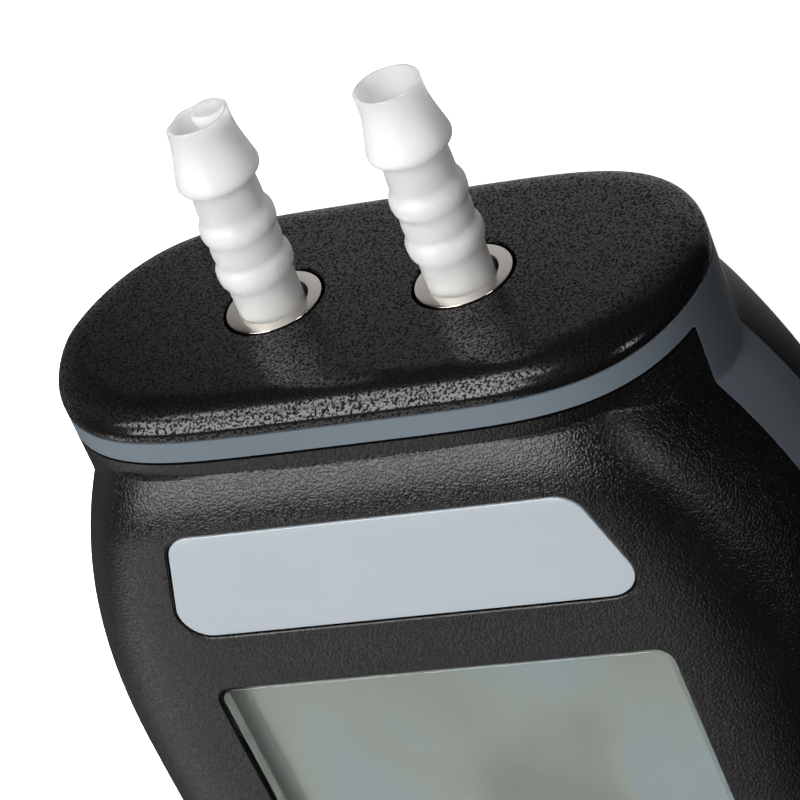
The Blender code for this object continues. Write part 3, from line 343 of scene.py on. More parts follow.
def outerRadius(angle, depth, inset):
    # collar + (g + sqrt(g^2 + e^2)) / 2, where g is how far the body stands out of the collar: a filleted
    # crease; beyond the flare it is the body alone
    collar = collarRadius(angle, inset)
    crease = creaseDepth(angle, inset)
    step = 0.05
    slope = (bodyRadius(angle, crease + step, inset) - collar) / step
    body = bodyRadius(angle, np.maximum(depth, crease), inset)
    stand = np.where(depth >= crease, body - collar, slope * (depth - crease))
    filleted = collar + (stand + np.sqrt(stand ** 2 + caseForm["creaseFillet"] ** 2)) / 2
    return np.where(depth < caseForm["flareEnd"], filleted, body)


def placeSection(angle, radius, depth, inset):
    # points about the case's axis; below, the height eases out on to the flat back
    x = radius * np.cos(angle)
    z = caseForm["midHeight"] + radius * np.sin(angle)
    above = z - inset
    eased = inset + (above + np.sqrt(above ** 2 + caseForm["backFillet"] ** 2)) / 2
    return np.stack([x, topY - depth + 0 * angle, np.where(np.sin(angle) < 0, eased, z)], axis=-1)


def collarRings(levels, steps):
    # levels (depth, inset) of the collar's own section
    angle = sectionAngles(steps)
    return np.stack([placeSection(angle, collarRadius(angle, inset), depth, inset)
                     for depth, inset in levels])


# Steps to a quarter of the section, with the rows of each part, and how the rows crowd about the crease
hullDetail = {"outer": (42, (4, 12, 26, 56, 26)), "inner": (16, (2, 4, 8, 14, 8)), "lead": 0.6,
              "leadShare": 0.7, "lag": 0.9, "flareCrowding": 1.4}


def hullRings(inset, topDepth, steps, rows):
    # the whole outer form pulled in by an inset; rows divide collar, crease, flare, grip and foot
    f = caseForm
    h = hullDetail
    angle = sectionAngles(steps)[None, :]
    crease = creaseDepth(angle, inset)
    lead = np.minimum(h["lead"], h["leadShare"] * (crease - topDepth))
    lag = h["lag"]
    share = [np.linspace(0, 1, count + 1)[1:, None] for count in rows]
    footStart = f["length"] - f["footRound"]
    footEnd = f["length"] - inset
    depth = np.concatenate([
        topDepth + 0 * angle,
        topDepth + (crease - lead - topDepth) * share[0],
        crease - lead + (lead + lag) * share[1],
        crease + lag + (f["flareEnd"] - crease - lag) * share[2] ** h["flareCrowding"],
        f["flareEnd"] + (footStart - f["flareEnd"]) * share[3] + 0 * angle,
        footStart + (footEnd - footStart) * np.sin(share[4] * math.pi / 2) + 0 * angle])
    angle = angle + 0 * depth
    return placeSection(angle, outerRadius(angle, depth, inset), depth, inset)


def outerHull(name, topDepth):
    return ringSolid(name, hullRings(0, topDepth, *hullDetail["outer"]))


def innerHull(name):
    return ringSolid(name, hullRings(caseForm["wall"], -past, *hullDetail["inner"]))


def slabTool(name, outline, low, high):
    # an outline carried straight up from low to high, each a number or an array of heights
    return ringSolid(name, outlineRings([outline, outline], [low, high]))


def boxTool(name, low, high):
    outline = np.array([(low[0], low[1]), (high[0], low[1]), (high[0], high[1]), (low[0], high[1])])
    return slabTool(name, outline, low[2], high[2])


rimDetail = {"turns": (90, 24, 5), "over": 0.8}    # degrees from and to, and how many


def rimTool(name, outlineAt, floor, radius):
    # a pocket's cutter whose rim is a quarter round: outward r (1 - sin a), down r (1 - cos a) from the face,
    # carried on above the face with its last slope
    turns = np.radians(np.linspace(*rimDetail["turns"]))
    grows = [0.0] + list(radius * (1 - np.sin(turns)))
    drops = list(-radius * (1 - np.cos(turns)))
    outlines = [outlineAt(grow) for grow in grows]
    heights = [floor(outlines[0][:, 1])]
    heights += [faceAt(o[:, 0], o[:, 1]) + drop for o, drop in zip(outlines[1:], drops)]
    over = rimDetail["over"]
    outlines.append(outlineAt(grows[-1] + over))
    last = outlines[-1]
    heights.append(faceAt(last[:, 0], last[:, 1]) + drops[-1] + over * math.tan(turns[-1]))
    return ringSolid(name, outlineRings(outlines, heights))


# Shader nodes, and the groups that several finishes share

socketKinds = {1: "NodeSocketFloat", 3: "NodeSocketVector", 4: "NodeSocketColor"}    # by count of numbers


def feed(tree, sockets, sources):
    # sets each input to a fixed value, or links it to a socket or to a node's first output
    for key, source in sources.items():
        if isinstance(source, bpy.types.Node):
            source = source.outputs[0]
        if isinstance(source, bpy.types.NodeSocket):
            tree.links.new(source, sockets[key])
        else:
            sockets[key].default_value = source


def addNode(tree, kind, settings, sources):
    node = tree.nodes.new("ShaderNode" + kind)
    for key, value in settings.items():
        setattr(node, key, value)
    feed(tree, node.inputs, sources)
    return node


def addMath(tree, operation, first, second):
    return addNode(tree, "Math", {"operation": operation}, {0: first, 1: second})


def addNoise(tree, place, scale, detail, **more):
    return addNode(tree, "TexNoise", {}, {"Vector": place, "Scale": scale, "Detail": detail, **more})


def addRange(tree, source, low, high, start=0.0, end=1.0, **settings):
    # carries low..high of the source over to start..end
    return addNode(tree, "MapRange", settings, {0: source, 1: low, 2: high, 3: start, 4: end})


def addMix(tree, share, first, second):
    # a mix of two colours
    return addNode(tree, "Mix", {"data_type": "RGBA"}, {"Factor": share, 6: first, 7: second}).outputs[2]


def objectPlace(tree):
    return addNode(tree, "TexCoord", {}, {}).outputs["Object"]


def newGroup(name, inputs, outputs):
    group = bpy.data.node_groups.new(name, "ShaderNodeTree")
    for label, value in inputs.items():
        kind = socketKinds[np.size(value)]
        group.interface.new_socket(name=label, in_out="INPUT", socket_type=kind).default_value = value
    for label, size in outputs.items():
        group.interface.new_socket(name=label, in_out="OUTPUT", socket_type=socketKinds[size])
    return group, group.nodes.new("NodeGroupInput").outputs, group.nodes.new("NodeGroupOutput").inputs


grainDetail = {"bend": 900.0, "plateau": (0.30, 0.62), "finer": 2.3, "peaks": (0.15, 1.15)}


def mouldGrainGroup():
    # eroded mould grain: noise pressed into plateaus with winding pits between, and finer pimples on top
    group, given, out = newGroup("mouldGrain", {"Cells": 3000.0, "Pimples": 0.35, "Warp": 0.0001},
                                 {"Height": 1, "Peaks": 1})
    place = objectPlace(group)
    bend = addNoise(group, place, grainDetail["bend"], 1.0).outputs["Color"]
    centred = addNode(group, "VectorMath", {"operation": "SUBTRACT"}, {0: bend, 1: (0.5, 0.5, 0.5)})
    scaled = addNode(group, "VectorMath", {"operation": "SCALE"}, {0: centred, "Scale": given["Warp"]})
    moved = addNode(group, "VectorMath", {"operation": "ADD"}, {0: place, 1: scaled})
    coarse = addNoise(group, moved, given["Cells"], 1.0, Roughness=0.5)
    plateau = addRange(group, coarse, *grainDetail["plateau"], interpolation_type="SMOOTHSTEP")
    finer = addMath(group, "MULTIPLY", given["Cells"], grainDetail["finer"])
    fine = addNoise(group, moved, finer, 2.0, Roughness=0.6)
    pimple = addMath(group, "MULTIPLY", fine, given["Pimples"])
    total = addMath(group, "ADD", plateau, pimple)
    feed(group, out, {"Height": total, "Peaks": addRange(group, total, *grainDetail["peaks"])})
    return group


driftDetail = {"detail": 4.0, "roughness": 0.62, "spread": (0.32, 0.68)}


def toneDriftGroup():
    # slow drift between two tones, for colour and roughness
    group, given, out = newGroup("toneDrift", {
        "Tone A": (0.5, 0.5, 0.5, 1), "Tone B": (0.4, 0.4, 0.4, 1), "Scale": 60.0, "Rough A": 0.4,
        "Rough B": 0.5}, {"Color": 4, "Roughness": 1})
    slow = addNoise(group, objectPlace(group), given["Scale"], driftDetail["detail"],
                    Roughness=driftDetail["roughness"])
    spread = addRange(group, slow, *driftDetail["spread"])
    feed(group, out, {"Color": addMix(group, spread, given["Tone A"], given["Tone B"]),
                      "Roughness": addRange(group, spread, 0.0, 1.0, given["Rough A"], given["Rough B"])})
    return group


lineDetail = {"marks": 420.0, "bend": 1.2, "scratched": (0.56, 0.62)}


def fineLinesGroup():
    # turning or brushing marks: noise stretched along one axis of the object, with handling scratches
    group, given, out = newGroup("fineLines", {"Stretch": (8000.0, 300.0, 8000.0), "Scratches": 0.3},
                                 {"Height": 1})
    place = objectPlace(group)
    longer = addNode(group, "VectorMath", {"operation": "MULTIPLY"}, {0: place, 1: given["Stretch"]})
    lines = addNoise(group, longer, 1.0, 3.0)
    marks = addNoise(group, place, lineDetail["marks"], 3.0, Distortion=lineDetail["bend"])
    scratched = addRange(group, marks, *lineDetail["scratched"])
    scratches = addMath(group, "MULTIPLY", scratched, given["Scratches"])
    feed(group, out, {"Height": addMath(group, "ADD", lines, scratches)})
    return group


grainGroup = mouldGrainGroup()
driftGroup = toneDriftGroup()
linesGroup = fineLinesGroup()


def useGroup(tree, group, values):
    return addNode(tree, "Group", {"node_tree": group}, values)


def newFinish(name, shaderValues):
    material = bpy.data.materials.new(name)
    material.use_nodes = True
    tree = material.node_tree
    shader = tree.nodes["Principled BSDF"].inputs
    feed(tree, shader, shaderValues)
    return material, tree, shader


def tone(red, green, blue):
    return (red, green, blue, 1.0)


def driftingFinish(name, toneA, toneB, rough, scale=60.0, grain=None, lines=None, shaderValues=None):
    # a finish with drifting tone and roughness, and a relief from the grain or the line group
    material, tree, shader = newFinish(name, shaderValues or {})
    drift = useGroup(tree, driftGroup, {"Tone A": toneA, "Tone B": toneB, "Scale": scale,
                                        "Rough A": rough[0], "Rough B": rough[1]})
    if grain:
        source = useGroup(tree, grainGroup, {"Cells": grain["cells"], "Pimples": grain["pimples"],
                                             "Warp": grain["warp"]})
    else:
        source = useGroup(tree, linesGroup, {"Stretch": lines["stretch"], "Scratches": lines["scratches"]})
    bump = addNode(tree, "Bump", {}, {"Strength": 1.0, "Distance": (grain or lines)["relief"],
                                      "Height": source.outputs["Height"]})
    feed(tree, shader, {"Base Color": drift.outputs["Color"], "Roughness": drift.outputs["Roughness"],
                        "Normal": bump})
    if grain and "polish" in grain:                # the peaks shine, the pits stay dull
        feed(tree, shader, {"Coat Weight": addRange(tree, source.outputs["Peaks"], *grain["polish"])})
    return material


# Finishes. Cells are counted per metre, reliefs are in metres.
finishLooks = {
    "caseBlack": {
        "toneA": tone(0.0026, 0.0025, 0.0027), "toneB": tone(0.0036, 0.0035, 0.0037),
        "rough": (0.20, 0.26),
        "grain": {"cells": 3900.0, "pimples": 0.45, "warp": 0.0001, "relief": 0.000033},
        "shaderValues": {"Specular IOR Level": 0.5}},
    "capBlack": {
        "toneA": tone(0.0026, 0.0025, 0.0027), "toneB": tone(0.0036, 0.0035, 0.0037),
        "rough": (0.32, 0.38),
        "grain": {"cells": 3800.0, "pimples": 0.4, "warp": 0.0001, "relief": 0.000055,
                  "polish": (0.27, 1.0)},
        "shaderValues": {"Specular IOR Level": 0.04, "Coat Roughness": 0.17, "Coat IOR": 1.56}},
    "bandGrey": {
        "toneA": tone(0.104, 0.128, 0.150), "toneB": tone(0.113, 0.138, 0.161), "rough": (0.50, 0.60),
        "grain": {"cells": 5200.0, "pimples": 0.6, "warp": 0.00005, "relief": 0.000006},
        "shaderValues": {"Specular IOR Level": 0.4}},
    "plateSatin": {
        "toneA": tone(0.370, 0.410, 0.440), "toneB": tone(0.385, 0.425, 0.455), "rough": (0.38, 0.46),
        "scale": 40.0, "grain": {"cells": 9000.0, "pimples": 0.8, "warp": 0.00003, "relief": 0.000003},
        "shaderValues": {"Metallic": 0.15}},
    "barbMilky": {
        "toneA": tone(0.975, 0.98, 0.985), "toneB": tone(0.98, 0.985, 0.99), "rough": (0.30, 0.40),
        "scale": 260.0, "grain": {"cells": 1100.0, "pimples": 0.3, "warp": 0.0003, "relief": 0.000006},
        "shaderValues": {"Subsurface Weight": 1.0, "Subsurface Radius": (1.0, 1.0, 1.03),
                         "Subsurface Scale": 0.008, "IOR": 1.5, "Specular IOR Level": 0.45}},
    "bushNickel": {
        "toneA": tone(0.78, 0.72, 0.65), "toneB": tone(0.84, 0.79, 0.74), "rough": (0.12, 0.20),
        "scale": 300.0,
        "lines": {"stretch": (2600.0, 2600.0, 2600.0), "scratches": 0.5, "relief": 0.0000025},
        "shaderValues": {"Metallic": 1.0}},
    "zincSteel": {
        "toneA": tone(0.52, 0.53, 0.55), "toneB": tone(0.60, 0.60, 0.61), "rough": (0.28, 0.40),
        "scale": 260.0,
        "lines": {"stretch": (5200.0, 5200.0, 900.0), "scratches": 0.2, "relief": 0.000004},
        "shaderValues": {"Metallic": 1.0}},
    "keyGrey": {
        "toneA": tone(0.150, 0.185, 0.215), "toneB": tone(0.170, 0.205, 0.238), "rough": (0.48, 0.58),
        "scale": 90.0, "grain": {"cells": 4800.0, "pimples": 0.6, "warp": 0.00005, "relief": 0.000008}},
    "softSilicone": {
        "toneA": tone(0.50, 0.51, 0.51), "toneB": tone(0.56, 0.57, 0.57), "rough": (0.50, 0.62),
        "scale": 120.0, "grain": {"cells": 2400.0, "pimples": 0.7, "warp": 0.0001, "relief": 0.00001},
        "shaderValues": {"Subsurface Weight": 0.1, "Subsurface Scale": 0.001}},
    "mouldedWhite": {
        "toneA": tone(0.66, 0.66, 0.63), "toneB": tone(0.72, 0.72, 0.70), "rough": (0.42, 0.52),
        "scale": 90.0, "grain": {"cells": 3000.0, "pimples": 0.6, "warp": 0.0001, "relief": 0.00001}},
    "switchBlack": {
        "toneA": tone(0.020, 0.020, 0.020), "toneB": tone(0.030, 0.030, 0.031), "rough": (0.35, 0.45),
        "scale": 150.0, "grain": {"cells": 5000.0, "pimples": 0.6, "warp": 0.0001, "relief": 0.00001}},
    "cellJacket": {
        "toneA": tone(0.055, 0.058, 0.070), "toneB": tone(0.075, 0.078, 0.092), "rough": (0.22, 0.30),
        "scale": 80.0,
        "lines": {"stretch": (900.0, 90.0, 900.0), "scratches": 0.1, "relief": 0.000006},
        "shaderValues": {"Coat Weight": 0.5, "Coat Roughness": 0.15}},
}
finishes = {name: driftingFinish(name, **look) for name, look in finishLooks.items()}

# The display: clear lens over a blank liquid crystal panel, whose colour has cloudy patches that are partly
# polariser mottling and partly a painted reflection of grey surroundings

lcdLook = {"tones": ((0.38, tone(0.064, 0.065, 0.057)), (0.46, tone(0.089, 0.097, 0.076)),
                     (0.54, tone(0.102, 0.116, 0.100)), (0.62, tone(0.099, 0.122, 0.133))),
           "clouds": 52.0, "softness": 0.4, "swirl": 0.6, "stretch": (1.0, 0.55, 1.0), "turn": 0.6,
           "rough": 0.22, "coat": 0.6, "coatRough": 0.08}


def blankPanel():
    look = lcdLook
    material, tree, shader = newFinish("lcdBlank", {"Roughness": look["rough"], "Coat Weight": look["coat"],
                                                    "Coat Roughness": look["coatRough"]})
    turned = addNode(tree, "Mapping", {}, {"Vector": objectPlace(tree), "Rotation": (0, 0, look["turn"]),
                                           "Scale": look["stretch"]})
    # cloudy patches in the base colour: partly polariser mottling, partly painted reflection of grey
    # surroundings
    clouds = addNoise(tree, turned, look["clouds"], 3.0, Roughness=look["softness"],
                      Distortion=look["swirl"])
    ramp = addNode(tree, "ValToRGB", {}, {"Fac": clouds})
    stops = ramp.color_ramp.elements
    for at, _ in look["tones"][1:-1]:
        stops.new(at)
    for stop, (at, colour) in zip(stops, look["tones"]):
        stop.position = at
        stop.color = colour
    feed(tree, shader, {"Base Color": ramp})
    return material


lensLook = {"tint": tone(0.93, 0.96, 0.94), "smears": (0.0, 0.07), "smearScale": 35.0, "ior": 1.10,
            "coat": 0.8, "coatRough": 0.04}


def clearLens():
    look = lensLook
    material, tree, shader = newFinish("lensClear", {
        "Base Color": look["tint"], "IOR": look["ior"], "Transmission Weight": 1.0,
        "Coat Weight": look["coat"], "Coat Roughness": look["coatRough"]})
    smears = useGroup(tree, driftGroup, {"Scale": look["smearScale"], "Rough A": look["smears"][0],
                                         "Rough B": look["smears"][1]})
    feed(tree, shader, {"Roughness": smears.outputs["Roughness"]})
    return material


finishes["lcdBlank"] = blankPanel()
finishes["lensClear"] = clearLens()

boardLook = {"mask": tone(0.020, 0.120, 0.045), "copper": tone(0.035, 0.175, 0.065), "tracks": 700.0,
             "edge": (0.30, 0.34), "strength": 0.5, "relief": 0.00003, "rough": 0.35, "coat": 0.3}


def boardMask():
    # a solder mask over copper: squares of Voronoi cells, one tone over copper and one between
    look = boardLook
    material, tree, shader = newFinish("boardMask", {"Roughness": look["rough"], "Coat Weight": look["coat"]})
    cells = addNode(tree, "TexVoronoi", {"distance": "CHEBYCHEV"},
                    {"Vector": objectPlace(tree), "Scale": look["tracks"]})
    edge = addRange(tree, cells, *look["edge"])
    bump = addNode(tree, "Bump", {}, {"Strength": look["strength"], "Distance": look["relief"],
                                      "Height": edge})
    feed(tree, shader, {"Base Color": addMix(tree, edge, look["copper"], look["mask"]), "Normal": bump})
    return material


finishes["boardMask"] = boardMask()
print("finishes made")

# End cap
capShape = {"side": 2.8, "edgeDrop": 2.2, "edgeRun": 4.2, "edgeSteps": 16, "columns": 42,
            "sideEnd": ((0.25, 0.0), (0.07, 0.04), (0.0, 0.2)),
            "holeRadius": 5.26, "holeRound": 0.28, "holeTurns": (90, 70, 50, 30), "holeOver": 0.8,
            "holeSteps": 96, "skirtDepth": 9.0, "skirtInsets": (2.5, 4.1), "skirtColumns": 16,
            "portSpacing": 20.0, "portHeight": 18.0}
portPlaces = (("left", -capShape["portSpacing"] / 2), ("right", capShape["portSpacing"] / 2))


def buildEndCap():
    # the collar's section, its top edge a quarter ellipse, with a skirt below and two round-edged holes
    s = capShape
    turn = np.linspace(0, math.pi / 2, s["edgeSteps"] + 1)
    levels = [(s["edgeDrop"] * (1 - math.cos(t)), s["edgeRun"] * (1 - math.sin(t))) for t in turn]
    levels += [(s["side"] - short, inset) for short, inset in s["sideEnd"]]
    cap = ringSolid("endCap", collarRings(levels, s["columns"]))
    outer, inner = s["skirtInsets"]
    root = s["side"] / 2
    skirt = collarRings([(root, outer), (s["skirtDepth"], outer), (s["skirtDepth"], inner), (root, inner)],
                        s["skirtColumns"])
    workIn(cap, "UNION", ringSolid("capSkirt", skirt, loop=True))
    r = s["holeRound"]
    arc = np.radians(s["holeTurns"])
    rim = [(s["holeRadius"] + r * (1 - math.sin(a)), topY - r * (1 - math.cos(a))) for a in arc]
    rim.append((rim[-1][0] + s["holeOver"], rim[-1][1] + s["holeOver"] * math.tan(arc[-1])))
    profile = [(s["holeRadius"], topY - s["side"] - past)] + rim
    tools = [ringSolid("capHole" + side, turnedRings(profile, x, s["portHeight"], s["holeSteps"]))
             for side, x in portPlaces]
    workIn(cap, "DIFFERENCE", *tools)
    finishPiece(cap, "meter", "end_cap", "capBlack", sharp=32)


buildEndCap()
print("end cap made")

# Grey band: the ring under the cap and the strip round both sides and the foot
def buildSideBand():
    # the outer form less the inner one, less what the front and the rear case take
    f = caseForm
    band = outerHull("sideBand", f["bandTop"])
    wide = 3 * f["halfWidth"]
    front = boxTool("bandFront", (-wide, -f["length"], f["stripFront"]), (wide, topY - f["bandBottom"], wide))
    back = boxTool("bandBack", (-wide, -f["length"], -wide), (wide, topY - f["bandBottom"], f["stripBack"]))
    workIn(band, "DIFFERENCE", innerHull("bandCore"), front, back)
    finishPiece(band, "meter", "side_band", "bandGrey", sharp=32)


buildSideBand()
print("band made")

# Front case with the pocket of the name plate, the window and the key holes
frontShape = {"ledge": 1.9, "rim": 0.3, "keyRim": 0.35, "plateRim": 0.22, "pocketDepth": 0.8}
plateShape = {"top": 12.95, "height": 12.95, "halfTop": 20.9, "halfBottom": 24.9, "corner": 3.0,
              "thickness": 0.35, "recess": 0.15, "clearance": 0.2, "edge": 0.1}
windowShape = {"top": 33.3, "height": 38.6, "half": 24.1, "corner": 1.9, "recess": 0.25, "flange": 2.0,
               "flangeThickness": 1.2, "edge": 0.18}
keyShape = {"depth": 93.0, "pitch": 19.0, "width": 13.0, "length": 9.0, "corner": 2.8, "proud": 1.1,
            "edge": 0.7, "crown": 0.12, "flange": 1.2, "flangeThickness": 1.0, "footShare": 0.6,
            "footHeight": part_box("key_cap_1")[0].z / mm}
keyPlaces = ((1, -keyShape["pitch"]), (2, 0.0), (3, keyShape["pitch"]))


def plateOutline(grow):
    # a trapezium, wider towards the handle, with round corners
    p = plateShape
    high = topY - p["top"] + grow
    low = topY - p["top"] - p["height"] - grow
    corners = [(-p["halfBottom"] - grow, low), (p["halfBottom"] + grow, low),
               (p["halfTop"] + grow, high), (-p["halfTop"] - grow, high)]
    return roundedOutline(corners, p["corner"] + grow, 10, 24)


def windowOutline(grow):
    w = windowShape
    return boxOutline(-w["half"], w["half"], w["top"], w["top"] + w["height"], w["corner"], 10, 24, grow)


def keyOutline(x, grow):
    k = keyShape
    return boxOutline(x - k["width"] / 2, x + k["width"] / 2, k["depth"] - k["length"] / 2,
                      k["depth"] + k["length"] / 2, k["corner"], 8, 6, grow)


def buildFrontCase():
    # the outer form above the band, hollowed, with a rounded rim round each opening
    f = caseForm
    s = frontShape
    case = trimAt(outerHull("frontCase", f["caseTop"]), f["stripFront"] + f["seam"], keepAbove=True)
    workIn(case, "DIFFERENCE", innerHull("frontCore"))
    low = f["stripFront"] - past
    window = windowOutline(windowShape["flange"] + f["gap"])
    tools = [rimTool("plateRim", lambda grow: plateOutline(plateShape["clearance"] + grow),
                     lambda y: planeAt(y, -s["pocketDepth"]), s["plateRim"]),
             rimTool("windowRim", windowOutline, lambda y: low + 0 * y, s["rim"]),
             slabTool("lensSeat", window, low, planeAt(window[:, 1], -s["ledge"]))]
    for index, x in keyPlaces:
        flange = keyOutline(x, keyShape["flange"] + f["gap"])
        tools.append(rimTool(f"keyRim{index}", lambda grow, x=x: keyOutline(x, f["gap"] + grow),
                             lambda y: low + 0 * y, s["keyRim"]))
        tools.append(slabTool(f"keySeat{index}", flange, low, planeAt(flange[:, 1], -s["ledge"])))
    workIn(case, "DIFFERENCE", *tools)
    finishPiece(case, "meter", "front_case", "caseBlack", sharp=32)


buildFrontCase()
print("front case made")

# Rear case with its battery bay, cover recess and screw holes
rearShape = {"bayHalf": 17.2, "coverHalf": 19.4, "bayTop": 84.0, "bayBottom": 136.0, "bayWall": 1.5,
             "bayCeiling": 13.7, "bayCorner": 1.0, "root": 1.54, "recess": 2.3, "coverTop": 81.8,
             "coverBottom": 142.0, "coverCorner": 3.0, "boss": 3.3, "bossTop": 21.7, "bossSteps": 40,
             "holeTop": 23.6, "pilot": 1.45, "pilotTop": 8.3, "pilotSteps": 32}
screwShape = {"head": 2.4, "headHeight": 1.7, "sunk": 0.9, "shank": 1.15, "length": 27.0, "edge": 0.35,
              "drive": 1.15, "slot": 0.32, "slotShare": 0.55, "tip": 1.2, "tipShare": 0.5, "steps": 40,
              "lip": 0.25, "holeFlare": 1.0, "holeSteps": 48}
screwPlaces = (("top_left", -26.0, 22.5), ("top_right", 26.0, 22.5),
               ("bottom_left", -25.0, 126.0), ("bottom_right", 25.0, 126.0))
coverScrew = {"x": 0.0, "depth": 139.0, "sunk": 0.1, "headHeight": 0.9, "length": 7.0}


def headHole(name, x, depth, seat, high):
    # counterbore up to the seat, its lip rounded, then the shank's clearance
    s = screwShape
    head = s["head"] + caseForm["gap"]
    shank = s["shank"] + caseForm["gap"]
    lip = s["lip"]
    profile = [(head + s["holeFlare"], -past), (head + lip, 0.0), (head + midRound * lip, midRound * lip),
               (head, lip), (head, seat), (shank, seat), (shank, high)]
    return ringSolid(name, peggedRings(profile, x, topY - depth, s["holeSteps"]))


def coverOutline(grow):
    s = rearShape
    return boxOutline(-s["coverHalf"], s["coverHalf"], s["coverTop"], s["coverBottom"], s["coverCorner"],
                      8, 2, grow)


def buildRearCase():
    # the outer form below the band, hollowed, with the bay's walls and the screw bosses
    f = caseForm
    s = rearShape
    case = trimAt(outerHull("rearCase", f["caseTop"]), f["stripBack"] - f["seam"], keepAbove=False)
    workIn(case, "DIFFERENCE", innerHull("rearCore"))
    reach = s["coverHalf"] + s["bayWall"]
    block = boxTool("bayBlock", (-reach, topY - s["coverBottom"] - s["bayWall"], s["root"]),
                    (reach, topY - s["coverTop"] + s["bayWall"], s["bayCeiling"] + s["bayWall"]))
    boss = [(s["boss"], s["root"]), (s["boss"], s["bossTop"])]
    bosses = [ringSolid("rearBoss" + name, peggedRings(boss, x, topY - depth, s["bossSteps"]))
              for name, x, depth in screwPlaces]
    workIn(case, "UNION", block, *bosses)
    bay = boxOutline(-s["bayHalf"], s["bayHalf"], s["bayTop"], s["bayBottom"], s["bayCorner"], 4, 2)
    tools = [slabTool("bayPocket", bay, -past, s["bayCeiling"]),
             slabTool("coverRecess", coverOutline(f["gap"]), -past, s["recess"])]
    seat = screwShape["sunk"] + screwShape["headHeight"] + f["gap"]
    tools += [headHole("rearHole" + name, x, depth, seat, s["holeTop"]) for name, x, depth in screwPlaces]
    pilot = [(s["pilot"], -past), (s["pilot"], s["pilotTop"])]
    tools.append(ringSolid("coverPilot", peggedRings(pilot, coverScrew["x"], topY - coverScrew["depth"],
                                                     s["pilotSteps"])))
    workIn(case, "DIFFERENCE", *tools)
    finishPiece(case, "meter", "rear_case", "caseBlack", sharp=32)


buildRearCase()
print("rear case made")

# Name plate: bare, following the face
def buildPlate():
    # the plate's outline in steps over its edge, each point at the face's own height there
    p = plateShape
    e = p["edge"]
    insets = [0.0, 0.0, -midRound * e, -e]
    outlines = [plateOutline(grow) for grow in insets]
    offsets = [-p["recess"] - p["thickness"], -p["recess"] - e, -p["recess"] - midRound * e, -p["recess"]]
    middle = outlines[3].mean(axis=0)
    for share in (0.9, 0.7, 0.45, 0.2):            # rings towards the middle carry the face's slight crown
        outlines.append(middle + (outlines[3] - middle) * share)
        offsets.append(-p["recess"])
    heights = [faceAt(o[:, 0], o[:, 1]) + drop for o, drop in zip(outlines, offsets)]
    plate = ringSolid("labelPlate", outlineRings(outlines, heights))
    finishPiece(plate, "meter", "label_plate", "plateSatin", sharp=50)


def buildLens():
    # a plane window with an eased edge, on a wider flange behind the face
    w = windowShape
    gap = caseForm["gap"]
    seat = frontShape["ledge"] + gap
    e = w["edge"]
    steps = [(-gap - e, -w["recess"]), (-gap - midRound * e, -w["recess"] - midRound * e),
             (-gap, -w["recess"] - e), (-gap, -seat), (w["flange"], -seat),
             (w["flange"], -seat - w["flangeThickness"])]
    outlines = [windowOutline(grow) for grow, _ in steps]
    heights = [planeAt(o[:, 1], drop) for o, (_, drop) in zip(outlines, steps)]
    lens = ringSolid("windowLens", outlineRings(outlines, heights))
    finishPiece(lens, "meter", "window_lens", "lensClear", sharp=50)


buildPlate()
buildLens()
print("name plate and lens made")

# Port bushes and hose barbs
bushShape = {"radius": 4.99, "chamfer": 0.25, "chamferMiddle": (0.35, 0.25), "socket": 3.52, "mouth": 0.06,
             "flangeTop": 4.4, "flange": 1.5, "flangeRadius": 6.6, "body": 8.4, "tail": 1.5, "tailEnd": 13.9,
             "tailBore": 0.8, "socketDepth": 5.0, "mouthDepth": 0.6, "steps": 128}
barbShape = {
    "profile": ((-4.7, 3.36), (2.6, 3.36), (3.1, 3.38), (3.5, 3.54), (3.9, 3.76), (4.3, 3.84), (4.9, 3.88),
                (5.4, 3.82), (5.8, 3.64), (6.15, 3.5), (6.7, 3.53), (7.2, 3.57), (7.8, 3.54), (8.35, 3.5),
                (8.7, 3.56), (9.1, 3.76), (9.6, 3.84), (10.1, 3.84), (10.55, 3.76), (11.0, 3.54),
                (11.4, 3.39), (12.2, 3.36), (13.2, 3.33), (14.6, 3.33), (14.86, 3.42), (14.96, 3.68),
                (15.06, 3.93), (15.25, 4.11), (15.5, 4.20), (15.8, 4.21), (16.2, 4.13), (16.75, 3.99),
                (17.4, 3.83), (18.1, 3.66), (18.9, 3.49), (19.6, 3.38), (20.3, 3.31), (21.0, 3.29),
                (21.6, 3.31), (22.0, 3.32)),
    "finely": ((2.4, 14.4, 76), (14.5, 15.6, 18)), "last": (15.7, 34),
    "bore": 2.45, "boreTop": 8.0, "height": 22.09, "tip": 3.32, "lip": 0.36, "lipTurns": (0.15, 0.85, 5),
    "mouth": 3.4, "mouthSteps": 12, "mouthBend": 0.8, "steps": 128,
    "lean": {"left": ((-5.0, -0.34), (4.0, -0.27), (9.0, -0.10), (14.0, 0.08), (17.0, 0.18), (22.2, 0.3)),
             "right": ((-5.0, -0.26), (4.0, -0.23), (9.0, -0.15), (14.0, -0.05), (22.2, -0.04))},
    "sink": {"left": ((-5.0, -0.16), (4.0, -0.13), (12.0, -0.04), (22.2, 0.0)),
             "right": ((-5.0, -0.03), (22.2, 0.0))}}
wornTip = {"side": "left", "facing": 200.0, "drop": 0.62, "reach": 3.5, "push": 0.34, "falloff": 1.5,
           "ripple": 0.12, "ripples": 6, "rippleTurn": 0.7,
           "crater": (1.02, -1.02), "craterSteps": 48,
           "craterProfile": ((0.02, -0.62), (0.5, -0.60), (0.95, -0.48), (1.22, -0.28), (1.4, -0.08),
                             (1.52, 0.0), (1.66, -0.05), (1.74, -0.2), (1.76, -0.6), (1.6, -1.3),
                             (1.1, -1.9), (0.02, -2.2))}


